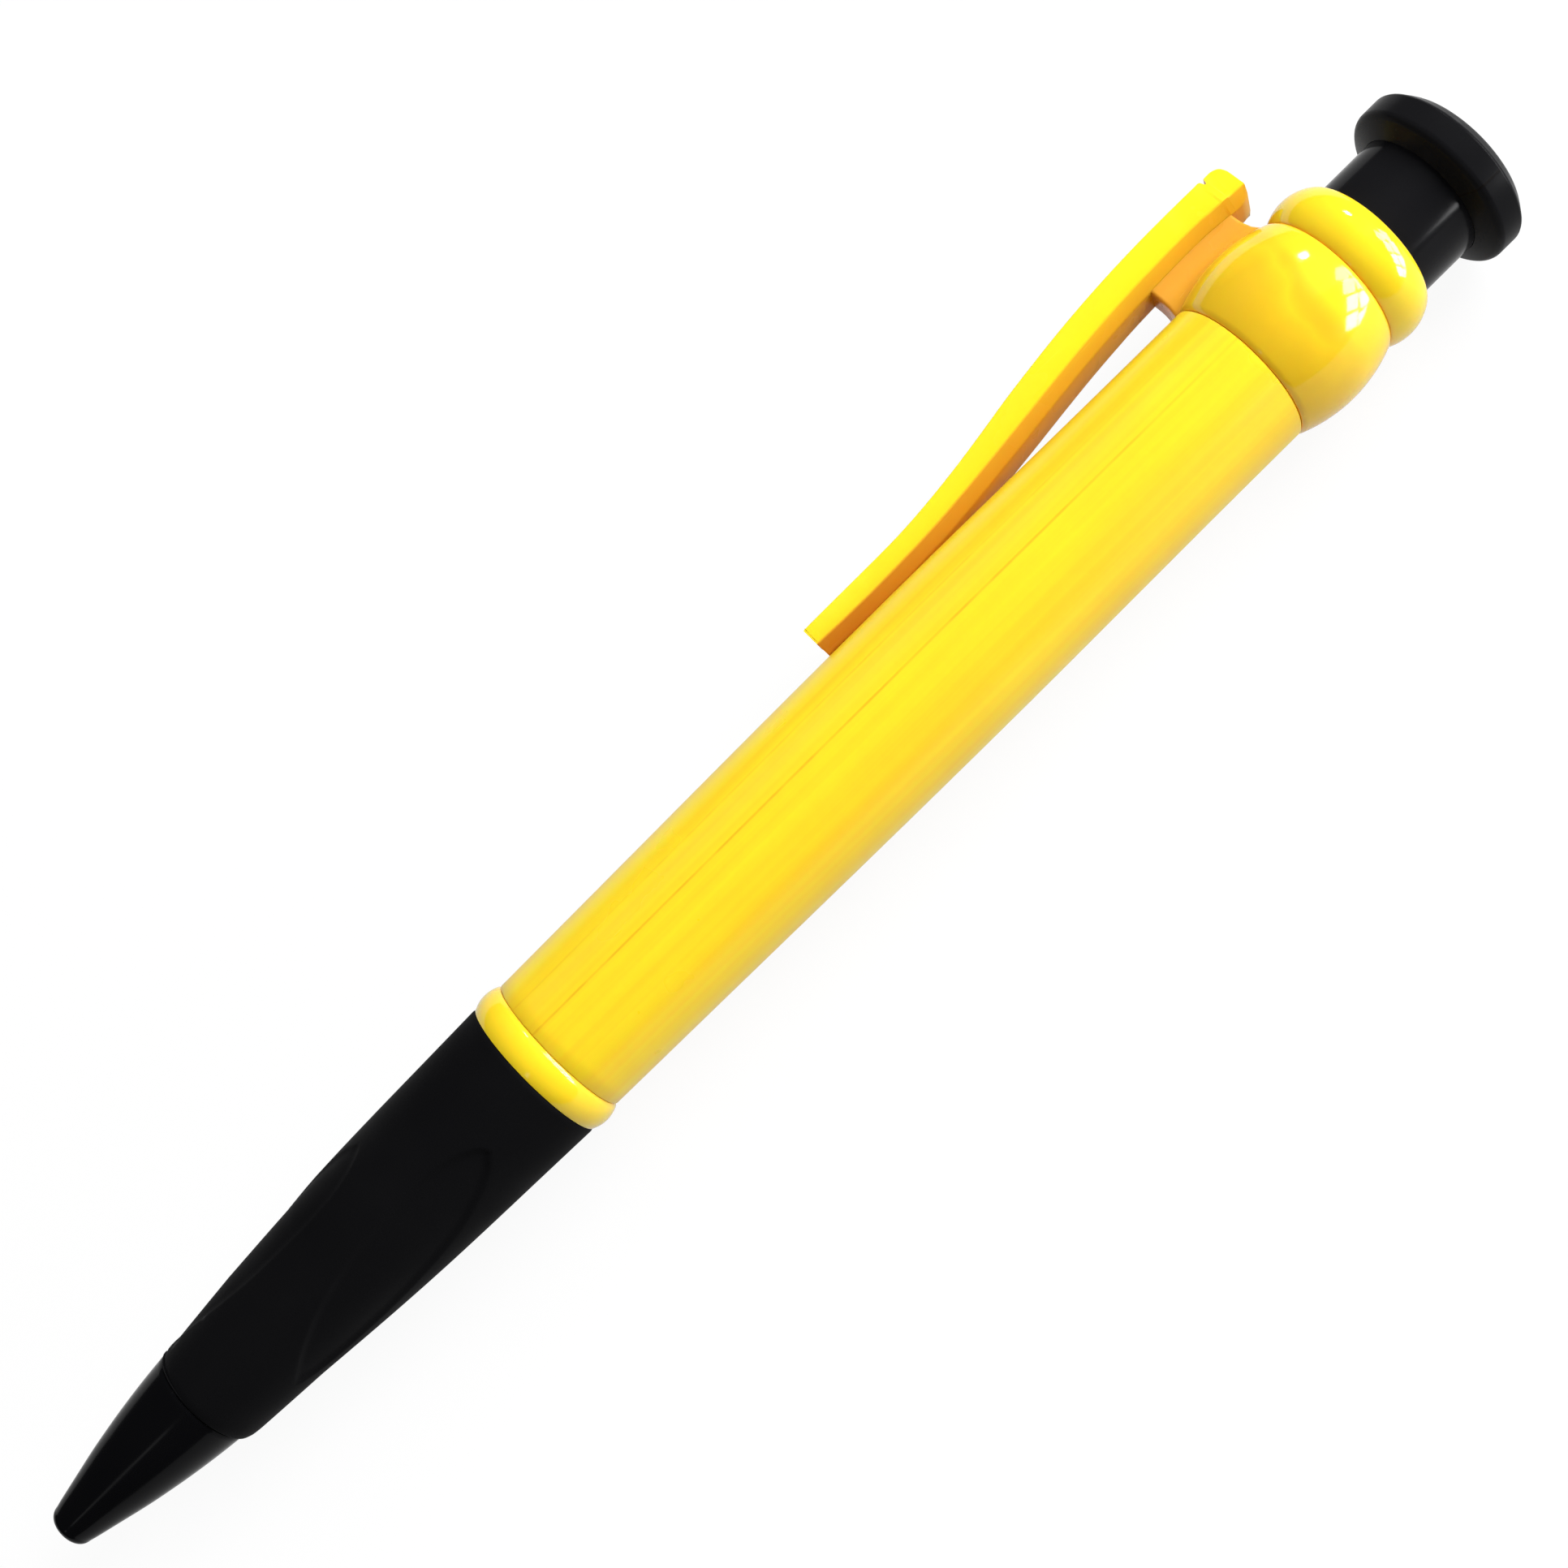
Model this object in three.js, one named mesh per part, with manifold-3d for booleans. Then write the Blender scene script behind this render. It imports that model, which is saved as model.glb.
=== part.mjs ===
// Giant retractable ballpoint pen, lying down: +X nose to push button, +Y to the clip, +Z up.
// Millimetres. The pen is drawn along its own axis, a = 0 at the nose end and a = LENGTH at the
// top of the button, and moved into the shared frame at the end.
import * as THREE from "three";
import { mergeVertices } from "three/addons/utils/BufferGeometryUtils.js";
import Module from "manifold-3d";

const wasm = await Module();
wasm.setup();
const { Manifold, Mesh } = wasm;

// Facets and clearances
const ROUND = 40; // facets round the large turned pieces
const SMALL_ROUND = 24; // facets round the refill pieces
const FIT = 0.1; // radial clearance of pieces that plug together
const SLIDE = 0.15; // radial clearance of pieces that slide or turn in each other
const GAP = 0.3; // gap left beside cut faces

// Lengths of the sections along the pen, nose to button
const NOSE_LEN = 27.6;
const GRIP_LEN = 66.2;
const RING_LEN = 4.9;
const BARREL_LEN = 136.6;
const HEAD_LEN = 17.5;
const COLLAR_LEN = 8.0;
const TRAVEL = 9.0; // full stroke of the button
const STEM_SPARE = 1.4; // stem that still shows when the button is down
const CAP_LEN = 8.7;

// Stations that follow from the lengths
const NOSE_TOP = NOSE_LEN;
const GRIP_BOTTOM = NOSE_TOP + FIT;
const GRIP_TOP = GRIP_BOTTOM + GRIP_LEN;
const BARREL_BOTTOM = GRIP_TOP + RING_LEN;
const BARREL_TOP = BARREL_BOTTOM + BARREL_LEN;
const HEAD_TOP = BARREL_TOP + HEAD_LEN;
const COLLAR_TOP = HEAD_TOP + COLLAR_LEN;
const CAP_BOTTOM = COLLAR_TOP + TRAVEL + STEM_SPARE;
const LENGTH = CAP_BOTTOM + CAP_LEN;

// Radii of nose and grip
const NOSE_HOLE_R = 1.75;
const NOSE_END_R = 3.15;
const NOSE_SOCKET_R = 6.3;
const NOSE_WALL = 1.78; // round the socket
const NOSE_TOP_R = NOSE_SOCKET_R + NOSE_WALL;
const SEAM_STEP = 0.45; // grip over nose at their seam
const GRIP_BOTTOM_R = NOSE_TOP_R + SEAM_STEP;
const BARREL_BORE_R = 10.2;
const BARREL_WALL = 2.21; // at the widest point
const BARREL_R = BARREL_BORE_R + BARREL_WALL;
const RING_STEP = 0.09; // bead over barrel
const RING_R = BARREL_R + RING_STEP;
const GRIP_STEP = 0.5; // bead over grip
const GRIP_TOP_R = RING_R - GRIP_STEP;

// Radii of what stands in the barrel's upper end, from the bore inwards
const SPIGOT_WALL = 1.4; // of the head in the barrel
const CAM_OUTER_R = BARREL_BORE_R - FIT - SPIGOT_WALL - FIT;
const CAM_WALL = 2.6;
const CAM_BORE_R = CAM_OUTER_R - CAM_WALL;
const GROOVE_DEPTH = 1.3;
const GROOVE_R = CAM_BORE_R + GROOVE_DEPTH;
const PLUNGER_R = CAM_BORE_R - SLIDE;
const PLUNGER_WALL = 1.95;
const PLUNGER_BORE_R = PLUNGER_R - PLUNGER_WALL;

// Radii of button and head, from the plunger outwards
const BOSS_ROOM = 3.05; // between the plunger and the stem's wall
const STEM_BORE_R = PLUNGER_R + BOSS_ROOM;
const STEM_WALL = 1.45;
const STEM_R = STEM_BORE_R + STEM_WALL;
const LIP_W = 0.65; // lip that keeps the stem in the head
const HEAD_BORE_R = STEM_R + LIP_W;
const HEAD_WALL = 3.04; // at the widest point
const HEAD_R = HEAD_BORE_R + HEAD_WALL;
const COLLAR_WALL = 2.85;
const COLLAR_R = STEM_R + COLLAR_WALL;
const CAP_OVERHANG = 3.6; // rim of the button over its stem
const CAP_R = STEM_R + CAP_OVERHANG;
const WIDEST_R = Math.max(HEAD_R, CAP_R, COLLAR_R, RING_R);

// Grip
const SLEEVE_WALL = 1.8;
const CORE_WALL = 1.5;
const NOSE_SOCKET_LEN = 6.4;
const CORE_SPIGOT_LEN = 13.2; // part of the core that stands in the barrel
const RECESS_DEPTH = 0.55;
const RECESS_LEN = 43.5;
const RECESS_W = 12.4;
const RECESS_DROP = 10.5; // from the grip's upper end to the near recess
const FAR_DROP = 24.0; // and to the far one
const LAND = 38; // degrees between the slanting edges of the near and the far recess
const LAND_MIDDLE = 94; // about +X from +Y towards +Z

// Click mechanism
const CLEAR_TRAVEL = TRAVEL - 0.8; // stroke at which the rotor's ribs leave the grooves
const TEETH = 8;
const TOOTH_HEIGHT = 1.9;
const GROOVES = 4;
const GROOVE_W = 3.0;
const CAM_LEN = 32;
const CAM_FLANGE = 1.6;
const LIP_LEN = 3.2;
const LIP_SPARE = 1.1; // between lip and cam sleeve when the button is down
const LIP_BOTTOM = HEAD_TOP - LIP_LEN;
const LIP_FLOOR = LIP_BOTTOM + 2.7;
const HEAD_SHOULDER = LIP_BOTTOM - TRAVEL - LIP_SPARE - CAM_FLANGE; // seat of the cam sleeve
const HEAD_SPIGOT_LEN = 12.4;
const CAM_BOTTOM = HEAD_SHOULDER - CAM_LEN;
const RIB_HALF_W = GROOVE_W / 2 - 0.2;
const RIB_R = GROOVE_R - 0.2;
const SLOPE = (TOOTH_HEIGHT * TEETH) / (Math.PI * PLUNGER_R); // rise of a tooth's flank
const CROWN = CAM_BOTTOM + CLEAR_TRAVEL - SLOPE * RIB_HALF_W - 0.05; // tips of the plunger's teeth

// Refill
const REFILL_R = 3.0;
const REFILL_WALL = 0.6;
const REFILL_BORE_R = REFILL_R - REFILL_WALL;
const REFILL_LEN = 97.4;
const TIP = 2.6; // writing ball's end at rest, inside the nose
const BALL_R = 0.5;
const SHANK_CLEAR = 0.15; // shank in the nose hole
const SHANK_R = NOSE_HOLE_R - SHANK_CLEAR;
const NECK_R = 1.9;
const SHOULDER_LEN = 29.4; // from the tip to the shoulder that the spring pushes on
const NECK_TOP = TIP + SHOULDER_LEN;
const REFILL_TOP = TIP + REFILL_LEN;
const INK_SPARE = 18; // empty tube above the ink
const ROD_DROP = 8; // from the cam sleeve down to the rod
const ROD_TOP = CAM_BOTTOM - ROD_DROP;
const ROD_WALL = 1.0;
const ROD_R = REFILL_R + FIT + ROD_WALL;
const ROD_SOCKET_R = 3.0;

// Return spring
const SPRING_WIRE_R = 0.32;
const SPRING_R = NECK_R + 0.65; // to the middle of the wire
const SPRING_TURNS = 11;
const SPRING_SEAT = 9.0;
const NECK_BOTTOM = SPRING_SEAT + TRAVEL + 1.0; // stays clear of the seat when the button is down

// Clip
const CLIP_W = 8.9;
const CLIP_REACH = 69.7; // along the barrel
const CLIP_BEVEL = 1.4; // radial height of the inner bevels
const WEB_W = 4.5;
const WEB_FLOOR_R = HEAD_BORE_R + GAP; // how deep the web's tongue reaches into the head
const WEB_LOW = BARREL_TOP + 0.6;
const WEB_HIGH = HEAD_TOP - 0.5;
const HEAD_STEP = 1.63; // ball over the clip's base line

// A closed manifold from any closed three.js geometry
function solid(geometry) {
  const raw = geometry.clone();
  raw.deleteAttribute("normal");
  raw.deleteAttribute("uv");
  const merged = mergeVertices(raw, 1e-5);
  const at = merged.attributes.position;
  const kept = [];
  for (let i = 0; i < merged.index.count; i += 3) {
    const t = [0, 1, 2].map((k) => merged.index.getX(i + k));
    if (t[0] !== t[1] && t[1] !== t[2] && t[2] !== t[0]) kept.push(...t);
  }
  let volume = 0;
  const p = [0, 1, 2].map(() => new THREE.Vector3());
  for (let i = 0; i < kept.length; i += 3) {
    p.forEach((v, k) => v.fromBufferAttribute(at, kept[i + k]));
    volume += p[0].dot(p[1].clone().cross(p[2]));
  }
  if (volume < 0) kept.reverse();
  const mesh = new Mesh({
    numProp: 3,
    vertProperties: new Float32Array(at.array),
    triVerts: new Uint32Array(kept),
  });
  mesh.merge();
  return new Manifold(mesh);
}

// The geometry of a manifold
function geometryOf(manifold) {
  const mesh = manifold.getMesh();
  const step = mesh.numProp;
  const count = mesh.vertProperties.length / step;
  const position = new Float32Array(count * 3);
  for (let i = 0; i < count; i += 1) {
    for (let k = 0; k < 3; k += 1) position[i * 3 + k] = mesh.vertProperties[i * step + k];
  }
  const geometry = new THREE.BufferGeometry();
  geometry.setAttribute("position", new THREE.BufferAttribute(position, 3));
  geometry.setIndex(new THREE.BufferAttribute(new Uint32Array(mesh.triVerts), 1));
  return geometry;
}

// A piece turned about the pen's axis; the outline is a list of [a, radius]
function turned(outline, facets = ROUND) {
  const points = outline.map(([a, r]) => new THREE.Vector2(r, a));
  const first = outline[0];
  const last = outline[outline.length - 1];
  const open = first[1] > 0 || last[1] > 0;
  if (open) points.push(points[0].clone());
  return solid(new THREE.LatheGeometry(points, facets).rotateZ(-Math.PI / 2));
}

// A box from its low and high corners
function block(low, high) {
  const size = high.map((v, k) => v - low[k]);
  const box = new THREE.BoxGeometry(...size);
  box.translate(...low.map((v, k) => v + size[k] / 2));
  return solid(box);
}

// A flat outline in the plane of a and y, given width w across z
function plate(outline, w) {
  const shape = new THREE.Shape(outline.map(([a, y]) => new THREE.Vector2(a, y)));
  const body = new THREE.ExtrudeGeometry(shape, { depth: w, bevelEnabled: false });
  body.translate(0, 0, -w / 2);
  return solid(body);
}

// The same solid turned about the pen's axis by an angle in degrees
function spun(manifold, degrees) {
  return manifold.rotate([degrees, 0, 0]);
}

// Points on a circular arc in the a and r plane
function arc(ca, cr, radius, from, to, steps) {
  const points = [];
  for (let i = 0; i <= steps; i += 1) {
    const t = ((from + ((to - from) * i) / steps) * Math.PI) / 180;
    points.push([ca + radius * Math.cos(t), cr + radius * Math.sin(t)]);
  }
  return points;
}

// Outline of a section: rows of [share of its length, share of the way from radius r0 to r1]
function skinOf(rows, start, length, r0, r1) {
  return rows.map(([t, k]) => [start + length * t, r0 + (r1 - r0) * k]);
}

const NOSE_SKIN = skinOf(
  [[0.015, 0], [0.1, 0.115], [0.185, 0.227], [0.268, 0.337], [0.351, 0.444], [0.435, 0.544],
    [0.543, 0.655], [0.652, 0.761], [0.772, 0.858], [0.884, 0.935], [1, 1]],
  0, NOSE_LEN, NOSE_END_R, NOSE_TOP_R,
);
const SLEEVE_ROWS = [
  [0.008, 0], [0.044, 0.07], [0.14, 0.224], [0.254, 0.391], [0.367, 0.553], [0.473, 0.682],
  [0.579, 0.782], [0.7, 0.859], [0.85, 0.93], [1, 1],
];
const SEAT_ROWS = SLEEVE_ROWS.filter((row, i) => [1, 3, 5, 7].includes(i)); // where the bore follows
const SLEEVE_SKIN = skinOf(SLEEVE_ROWS, GRIP_BOTTOM, GRIP_LEN, GRIP_BOTTOM_R, GRIP_TOP_R);
const SEAT_SKIN = skinOf(SEAT_ROWS, GRIP_BOTTOM, GRIP_LEN, GRIP_BOTTOM_R, GRIP_TOP_R);
const BARREL_SKIN = [
  [0, 0.65], [0.185, 0.4], [0.316, 0.2], [0.448, 0.06], [0.602, 0], [0.741, 0.11], [0.873, 0.23], [1, 0.26],
].map(([t, less]) => [BARREL_BOTTOM + BARREL_LEN * t, BARREL_R - less]);

// Glossy ogive nose with the hole for the point and a socket for the grip core
function noseCone() {
  const outer = [[0, NOSE_HOLE_R], [0, NOSE_END_R - 0.55], ...NOSE_SKIN];
  const floor = NOSE_TOP - NOSE_SOCKET_LEN;
  const seat = SPRING_SEAT - GAP;
  const inner = [
    [NOSE_TOP, NOSE_SOCKET_R], [floor, NOSE_SOCKET_R], [floor, NOSE_SOCKET_R - 1.1],
    [seat + 4.3, SPRING_R + 1.15], [seat, SPRING_R + 0.75], [seat, NOSE_HOLE_R],
  ];
  return turned([...outer, ...inner]);
}

// Inner tube of the grip: spigots into nose and barrel, carries the sleeve and the ring
function gripCore() {
  const bottom = NOSE_TOP - NOSE_SOCKET_LEN + GAP;
  const top = BARREL_BOTTOM + CORE_SPIGOT_LEN;
  const low = GRIP_BOTTOM_R - SLEEVE_WALL - FIT;
  const spigot = BARREL_BORE_R - FIT;
  const skin = [
    [bottom, NOSE_SOCKET_R - FIT], [GRIP_BOTTOM, NOSE_SOCKET_R - FIT], [GRIP_BOTTOM, low],
    ...SEAT_SKIN.map(([a, r]) => [a, r - SLEEVE_WALL - FIT]),
    [GRIP_TOP, spigot], [top - 1, spigot], [top, spigot - 0.8],
  ];
  const bore = [
    [top, spigot - CORE_WALL], [GRIP_TOP, spigot - CORE_WALL],
    ...SEAT_SKIN.map(([a, r]) => [a, r - SLEEVE_WALL - FIT - CORE_WALL]).reverse(),
    [bottom, NOSE_SOCKET_R - CORE_WALL],
  ];
  return turned([...skin, ...bore]);
}

// Edges of a thumb recess, blunt end first: rows of [share of its length, share of its width]. One
// edge stays straight, the other slants to it.
const STRAIGHT_EDGE = [
  [0.02, 0.4], [0.045, 0.49], [0.1, 0.6], [0.165, 0.7], [0.25, 0.81], [0.35, 0.89], [0.47, 0.955],
  [0.6, 1], [0.75, 1], [0.86, 0.97], [0.94, 0.91],
];
const SLANTED_EDGE = [
  [1, 0.78], [0.955, 0.6], [0.88, 0.43], [0.79, 0.28], [0.69, 0.165], [0.58, 0.08], [0.46, 0.03],
  [0.33, 0], [0.23, 0], [0.15, 0.025], [0.09, 0.075], [0.045, 0.145], [0.01, 0.23], [0, 0.31],
];

// One thumb recess cutter, sunk by RECESS_DEPTH. Its slanting edge starts at the angle and its
// straight edge lies on the side of the sign.
function recess(angle, blunt, sign) {
  const place = ([t, k]) => new THREE.Vector2(blunt - RECESS_LEN * t, -sign * RECESS_W * (k - 0.5));
  const shape = new THREE.Shape([...STRAIGHT_EDGE, ...SLANTED_EDGE].map(place));
  const deep = new THREE.ExtrudeGeometry(shape, { depth: GRIP_TOP_R + 2, bevelEnabled: false });
  const widest = SLEEVE_SKIN[5][1];
  const middle = angle + (sign * RECESS_W * 90) / (Math.PI * widest);
  const cutter = spun(solid(deep), middle - 90);
  const floor = SLEEVE_SKIN.map(([a, r]) => [a, r - RECESS_DEPTH]);
  const low = [GRIP_BOTTOM - 8, GRIP_BOTTOM_R - RECESS_DEPTH];
  const high = [GRIP_TOP + 16, GRIP_TOP_R];
  return cutter.subtract(turned([[low[0], 0], low, ...floor, high, [high[0], 0]]));
}

// Soft grip sleeve with its three thumb recesses
function gripSleeve() {
  const bore = [
    [GRIP_TOP, GRIP_TOP_R - SLEEVE_WALL], ...SEAT_SKIN.map(([a, r]) => [a, r - SLEEVE_WALL]).reverse(),
    [GRIP_BOTTOM, GRIP_BOTTOM_R - SLEEVE_WALL],
  ];
  const sleeve = turned([[GRIP_BOTTOM, GRIP_BOTTOM_R - 0.25], ...SLEEVE_SKIN, ...bore]);
  const near = recess(LAND_MIDDLE + LAND / 2, GRIP_TOP - RECESS_DROP, 1);
  const far = recess(LAND_MIDDLE - LAND / 2, GRIP_TOP - FAR_DROP, -1);
  const under = recess(LAND_MIDDLE + 148, GRIP_TOP - RECESS_DROP, 1);
  return sleeve.subtract(near).subtract(far).subtract(under);
}

// Glossy bead between the grip and the barrel
function lowerRing() {
  const bore = BARREL_BORE_R;
  const round = 4.7;
  const middle = GRIP_TOP + RING_LEN / 2 - 0.1;
  const bead = arc(middle, RING_R - round, round, 118, 62, 6);
  return turned([
    [GRIP_TOP, bore], [GRIP_TOP, RING_R - 0.7], ...bead, [BARREL_BOTTOM, RING_R - 0.9],
    [BARREL_BOTTOM, bore],
  ]);
}

// Slightly swelling barrel tube
function barrel() {
  return turned([...BARREL_SKIN, [BARREL_TOP, BARREL_BORE_R], [BARREL_BOTTOM, BARREL_BORE_R]]);
}

// Ball-shaped head with its spigot, the seat of the cam sleeve and the slot of the clip's web
function headBall() {
  const spigot = BARREL_BORE_R - FIT;
  const rise = 22.0;
  const half = (Math.acos(HEAD_LEN / 2 / rise) * 180) / Math.PI;
  const skin = arc(BARREL_TOP + HEAD_LEN / 2, HEAD_R - rise, rise, 180 - half, half, 12);
  const inside = CAM_OUTER_R + FIT;
  const low = BARREL_TOP - HEAD_SPIGOT_LEN;
  const body = turned([
    [low, spigot - 0.6], [low + 1, spigot], [BARREL_TOP, spigot], ...skin,
    [HEAD_TOP, HEAD_BORE_R], [HEAD_SHOULDER, HEAD_BORE_R], [HEAD_SHOULDER, inside], [low, inside],
  ]);
  const side = WEB_W / 2 + 0.15;
  const slot = block([WEB_LOW - 0.2, WEB_FLOOR_R - 0.15, -side], [WEB_HIGH + 0.2, HEAD_R + 2, side]);
  return body.subtract(slot);
}

// Rounded collar that guides the button's stem
function headCollar() {
  const round = 5.2;
  const middle = HEAD_TOP + 3.7;
  const bead = arc(middle, COLLAR_R - round, round, 133, 45, 10);
  return turned([
    [HEAD_TOP, STEM_R + FIT], [HEAD_TOP, COLLAR_R - 1.75], ...bead, [COLLAR_TOP, COLLAR_R - 2.1],
    [COLLAR_TOP, STEM_R + FIT],
  ]);
}

// Side outlines of the clip bar. Its base line runs from the barrel's skin at the free end to just
// under the ball's skin at the head. Along the barrel the rows are [share of the reach, height over
// the base line], from the head on they are [distance from the head's upper end, height].
function clipSide(free, root) {
  const rootR = HEAD_R - HEAD_STEP;
  const along = free.map(([t, lift]) => {
    const base = rootR + (BARREL_R - rootR) * Math.min(t, 1);
    return [BARREL_TOP - CLIP_REACH * t, base + lift];
  });
  return [...along, ...root.map(([d, lift]) => [HEAD_TOP + d, rootR + lift])];
}

const CLIP_OUTER = clipSide(
  [[1, 4.5], [0.989, 5.15], [0.786, 5.24], [0.702, 5.44], [0.617, 6.0], [0.532, 6.8], [0.448, 7.8],
    [0.362, 8.9], [0.275, 9.8], [0.189, 10.6], [0.105, 11.2], [0.019, 11.62]],
  [[-12.9, 11.86], [-6.9, 11.95], [-1.1, 11.89], [-0.55, 11.3], [-0.25, 10.6], [0.15, 10.6],
    [0.45, 11.3], [0.9, 11.85], [2.2, 11.75], [3.1, 11.2], [3.4, 10.3], [3.4, 7.99]],
);
const CLIP_INNER = clipSide(
  [[1.001, 1.94], [0.872, 1.69], [0.704, 1.99], [0.621, 2.41], [0.537, 3.03], [0.452, 3.74],
    [0.367, 4.49], [0.281, 5.29], [0.197, 6.01], [0.112, 6.57], [0.026, 6.99]],
  [[-7.5, 7.29], [-1.7, 6.94], [2.6, 6.44]],
);

// Clip bar with bevelled inner edges and the web that plants it in the head
function clip() {
  const low = CLIP_INNER.map(([a, u]) => [a, u - CLIP_BEVEL]);
  const side = plate([...CLIP_OUTER, ...CLIP_INNER.slice().reverse()], CLIP_W);
  const keel = plate([...CLIP_INNER.map(([a, u]) => [a, u + 0.6]), ...low.slice().reverse()], WEB_W);
  const cheeks = [1, -1].map((sign) => bevelStrip(low, sign));
  const web = block([WEB_LOW, WEB_FLOOR_R, -WEB_W / 2], [WEB_HIGH, HEAD_R - HEAD_STEP + 7.2, WEB_W / 2]);
  return Manifold.union([side, keel, ...cheeks, web]);
}

// Sloping wedge between the flat side and the narrow inner face on one side of the bar
function bevelStrip(low, sign) {
  const position = [];
  const rings = low.map(([a, u]) => [
    [a, u, 0], [a, u, (sign * WEB_W) / 2], [a, u + CLIP_BEVEL, (sign * CLIP_W) / 2],
    [a, u + CLIP_BEVEL + 0.3, (sign * CLIP_W) / 2], [a, u + CLIP_BEVEL + 0.3, 0],
  ]);
  const tri = (p, q, r) => position.push(...p, ...q, ...r);
  for (let i = 1; i < rings.length; i += 1) {
    for (let k = 0; k < 5; k += 1) {
      const m = (k + 1) % 5;
      tri(rings[i - 1][k], rings[i][k], rings[i][m]);
      tri(rings[i - 1][k], rings[i][m], rings[i - 1][m]);
    }
  }
  const first = rings[0];
  const last = rings[rings.length - 1];
  for (let k = 1; k < 4; k += 1) {
    tri(first[0], first[k], first[k + 1]);
    tri(last[0], last[k + 1], last[k]);
  }
  const strip = new THREE.BufferGeometry();
  strip.setAttribute("position", new THREE.Float32BufferAttribute(position, 3));
  return solid(strip);
}

// A wedge across the wall of a tube: its point lies at [a, angle], it opens towards +a or -a
function wedge(a, degrees, halfWidth, height, inner, outer) {
  const shape = new THREE.Shape([
    new THREE.Vector2(a + height, 0),
    new THREE.Vector2(a - height * 0.25, halfWidth * 1.25),
    new THREE.Vector2(a - height * 0.25, -halfWidth * 1.25),
  ]);
  const prism = new THREE.ExtrudeGeometry(shape, { depth: outer - inner, bevelEnabled: false });
  prism.translate(0, 0, inner);
  return spun(solid(prism), degrees - 90);
}

// Fixed sleeve: grooves for the ribs all the way, sloping stops between them at the lower end
function camSleeve() {
  const flange = HEAD_BORE_R - FIT;
  const top = HEAD_SHOULDER + CAM_FLANGE;
  let sleeve = turned([
    [CAM_BOTTOM, CAM_BORE_R], [CAM_BOTTOM, CAM_OUTER_R], [HEAD_SHOULDER, CAM_OUTER_R],
    [HEAD_SHOULDER, flange], [top, flange], [top, CAM_BORE_R],
  ]);
  const pitch = 360 / TEETH;
  const half = (Math.PI * CAM_BORE_R) / TEETH;
  for (let i = 0; i < GROOVES; i += 1) {
    const groove = block([CAM_BOTTOM - 1, 0, -GROOVE_W / 2], [top + 1, GROOVE_R, GROOVE_W / 2]);
    sleeve = sleeve.subtract(spun(groove, (i * 360) / GROOVES));
  }
  for (let i = 0; i < TEETH; i += 1) {
    const cut = wedge(CAM_BOTTOM, i * pitch, half, TOOTH_HEIGHT, CAM_BORE_R - 1, CAM_OUTER_R + 1.4);
    sleeve = sleeve.subtract(cut);
  }
  return sleeve;
}

// Crown plunger: a tube with guide ribs, a push flange and eight teeth
function plunger() {
  const r = PLUNGER_R;
  const top = CAP_BOTTOM + 4.7;
  const flange = STEM_BORE_R - 0.5;
  let body = turned([
    [CROWN, PLUNGER_BORE_R], [CROWN, r], [LIP_FLOOR, r], [LIP_FLOOR, flange],
    [LIP_FLOOR + 1.8, flange], [LIP_FLOOR + 1.8, r - 0.4], [top, r - 0.4], [top, PLUNGER_BORE_R],
  ]);
  const pitch = 360 / TEETH;
  const half = (Math.PI * r) / TEETH;
  for (let i = 0; i < TEETH; i += 1) {
    const cut = wedge(CROWN, (i + 0.5) * pitch, half, TOOTH_HEIGHT, PLUNGER_BORE_R - 0.9, r + 2.15);
    body = body.subtract(cut);
  }
  for (let i = 0; i < GROOVES; i += 1) {
    const rib = block([CROWN + 4, r - 0.5, -RIB_HALF_W], [CROWN + 20, RIB_R, RIB_HALF_W]);
    body = body.add(spun(rib, (i * 360) / GROOVES));
  }
  return body;
}

// Indexing rotor: spigot in the plunger, four ribs with slanted tops in the grooves
function camRotor() {
  const low = CROWN - 6;
  const seat = CROWN - 3;
  const top = CROWN + 5;
  const spigot = PLUNGER_BORE_R - SLIDE;
  const plug = ROD_SOCKET_R - FIT;
  let body = turned([
    [ROD_TOP - 11, 0], [ROD_TOP - 11, plug - 0.5], [ROD_TOP - 10, plug], [ROD_TOP, plug],
    [ROD_TOP, ROD_R + 0.5], [ROD_TOP + 2, CAM_BORE_R - 0.4], [seat, CAM_BORE_R - 0.4], [seat, spigot],
    [top, spigot], [top + 0.8, spigot - 0.75], [top + 0.8, 0],
  ], 32);
  const w = RIB_HALF_W;
  const rise = SLOPE * w;
  for (let i = 0; i < GROOVES; i += 1) {
    const shape = new THREE.Shape([
      new THREE.Vector2(low, -w), new THREE.Vector2(low, w),
      new THREE.Vector2(CROWN + rise - 0.15, w), new THREE.Vector2(CROWN - rise - 0.15, -w),
    ]);
    const root = CAM_BORE_R / 2;
    const prism = new THREE.ExtrudeGeometry(shape, { depth: RIB_R - root, bevelEnabled: false });
    prism.translate(0, 0, root);
    body = body.add(spun(solid(prism), (i * 360) / GROOVES - 90));
  }
  return body;
}

// Round stem of the button, with the lip that keeps it in the head
function buttonStem() {
  const lip = HEAD_BORE_R - FIT;
  const bore = STEM_BORE_R;
  const hub = PLUNGER_R + 0.2;
  const top = CAP_BOTTOM + 1.0;
  return turned([
    [LIP_BOTTOM, hub], [LIP_BOTTOM, lip], [HEAD_TOP, lip], [HEAD_TOP, STEM_R], [top, STEM_R],
    [top, bore], [LIP_FLOOR, bore], [LIP_FLOOR, hub],
  ]);
}

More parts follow.
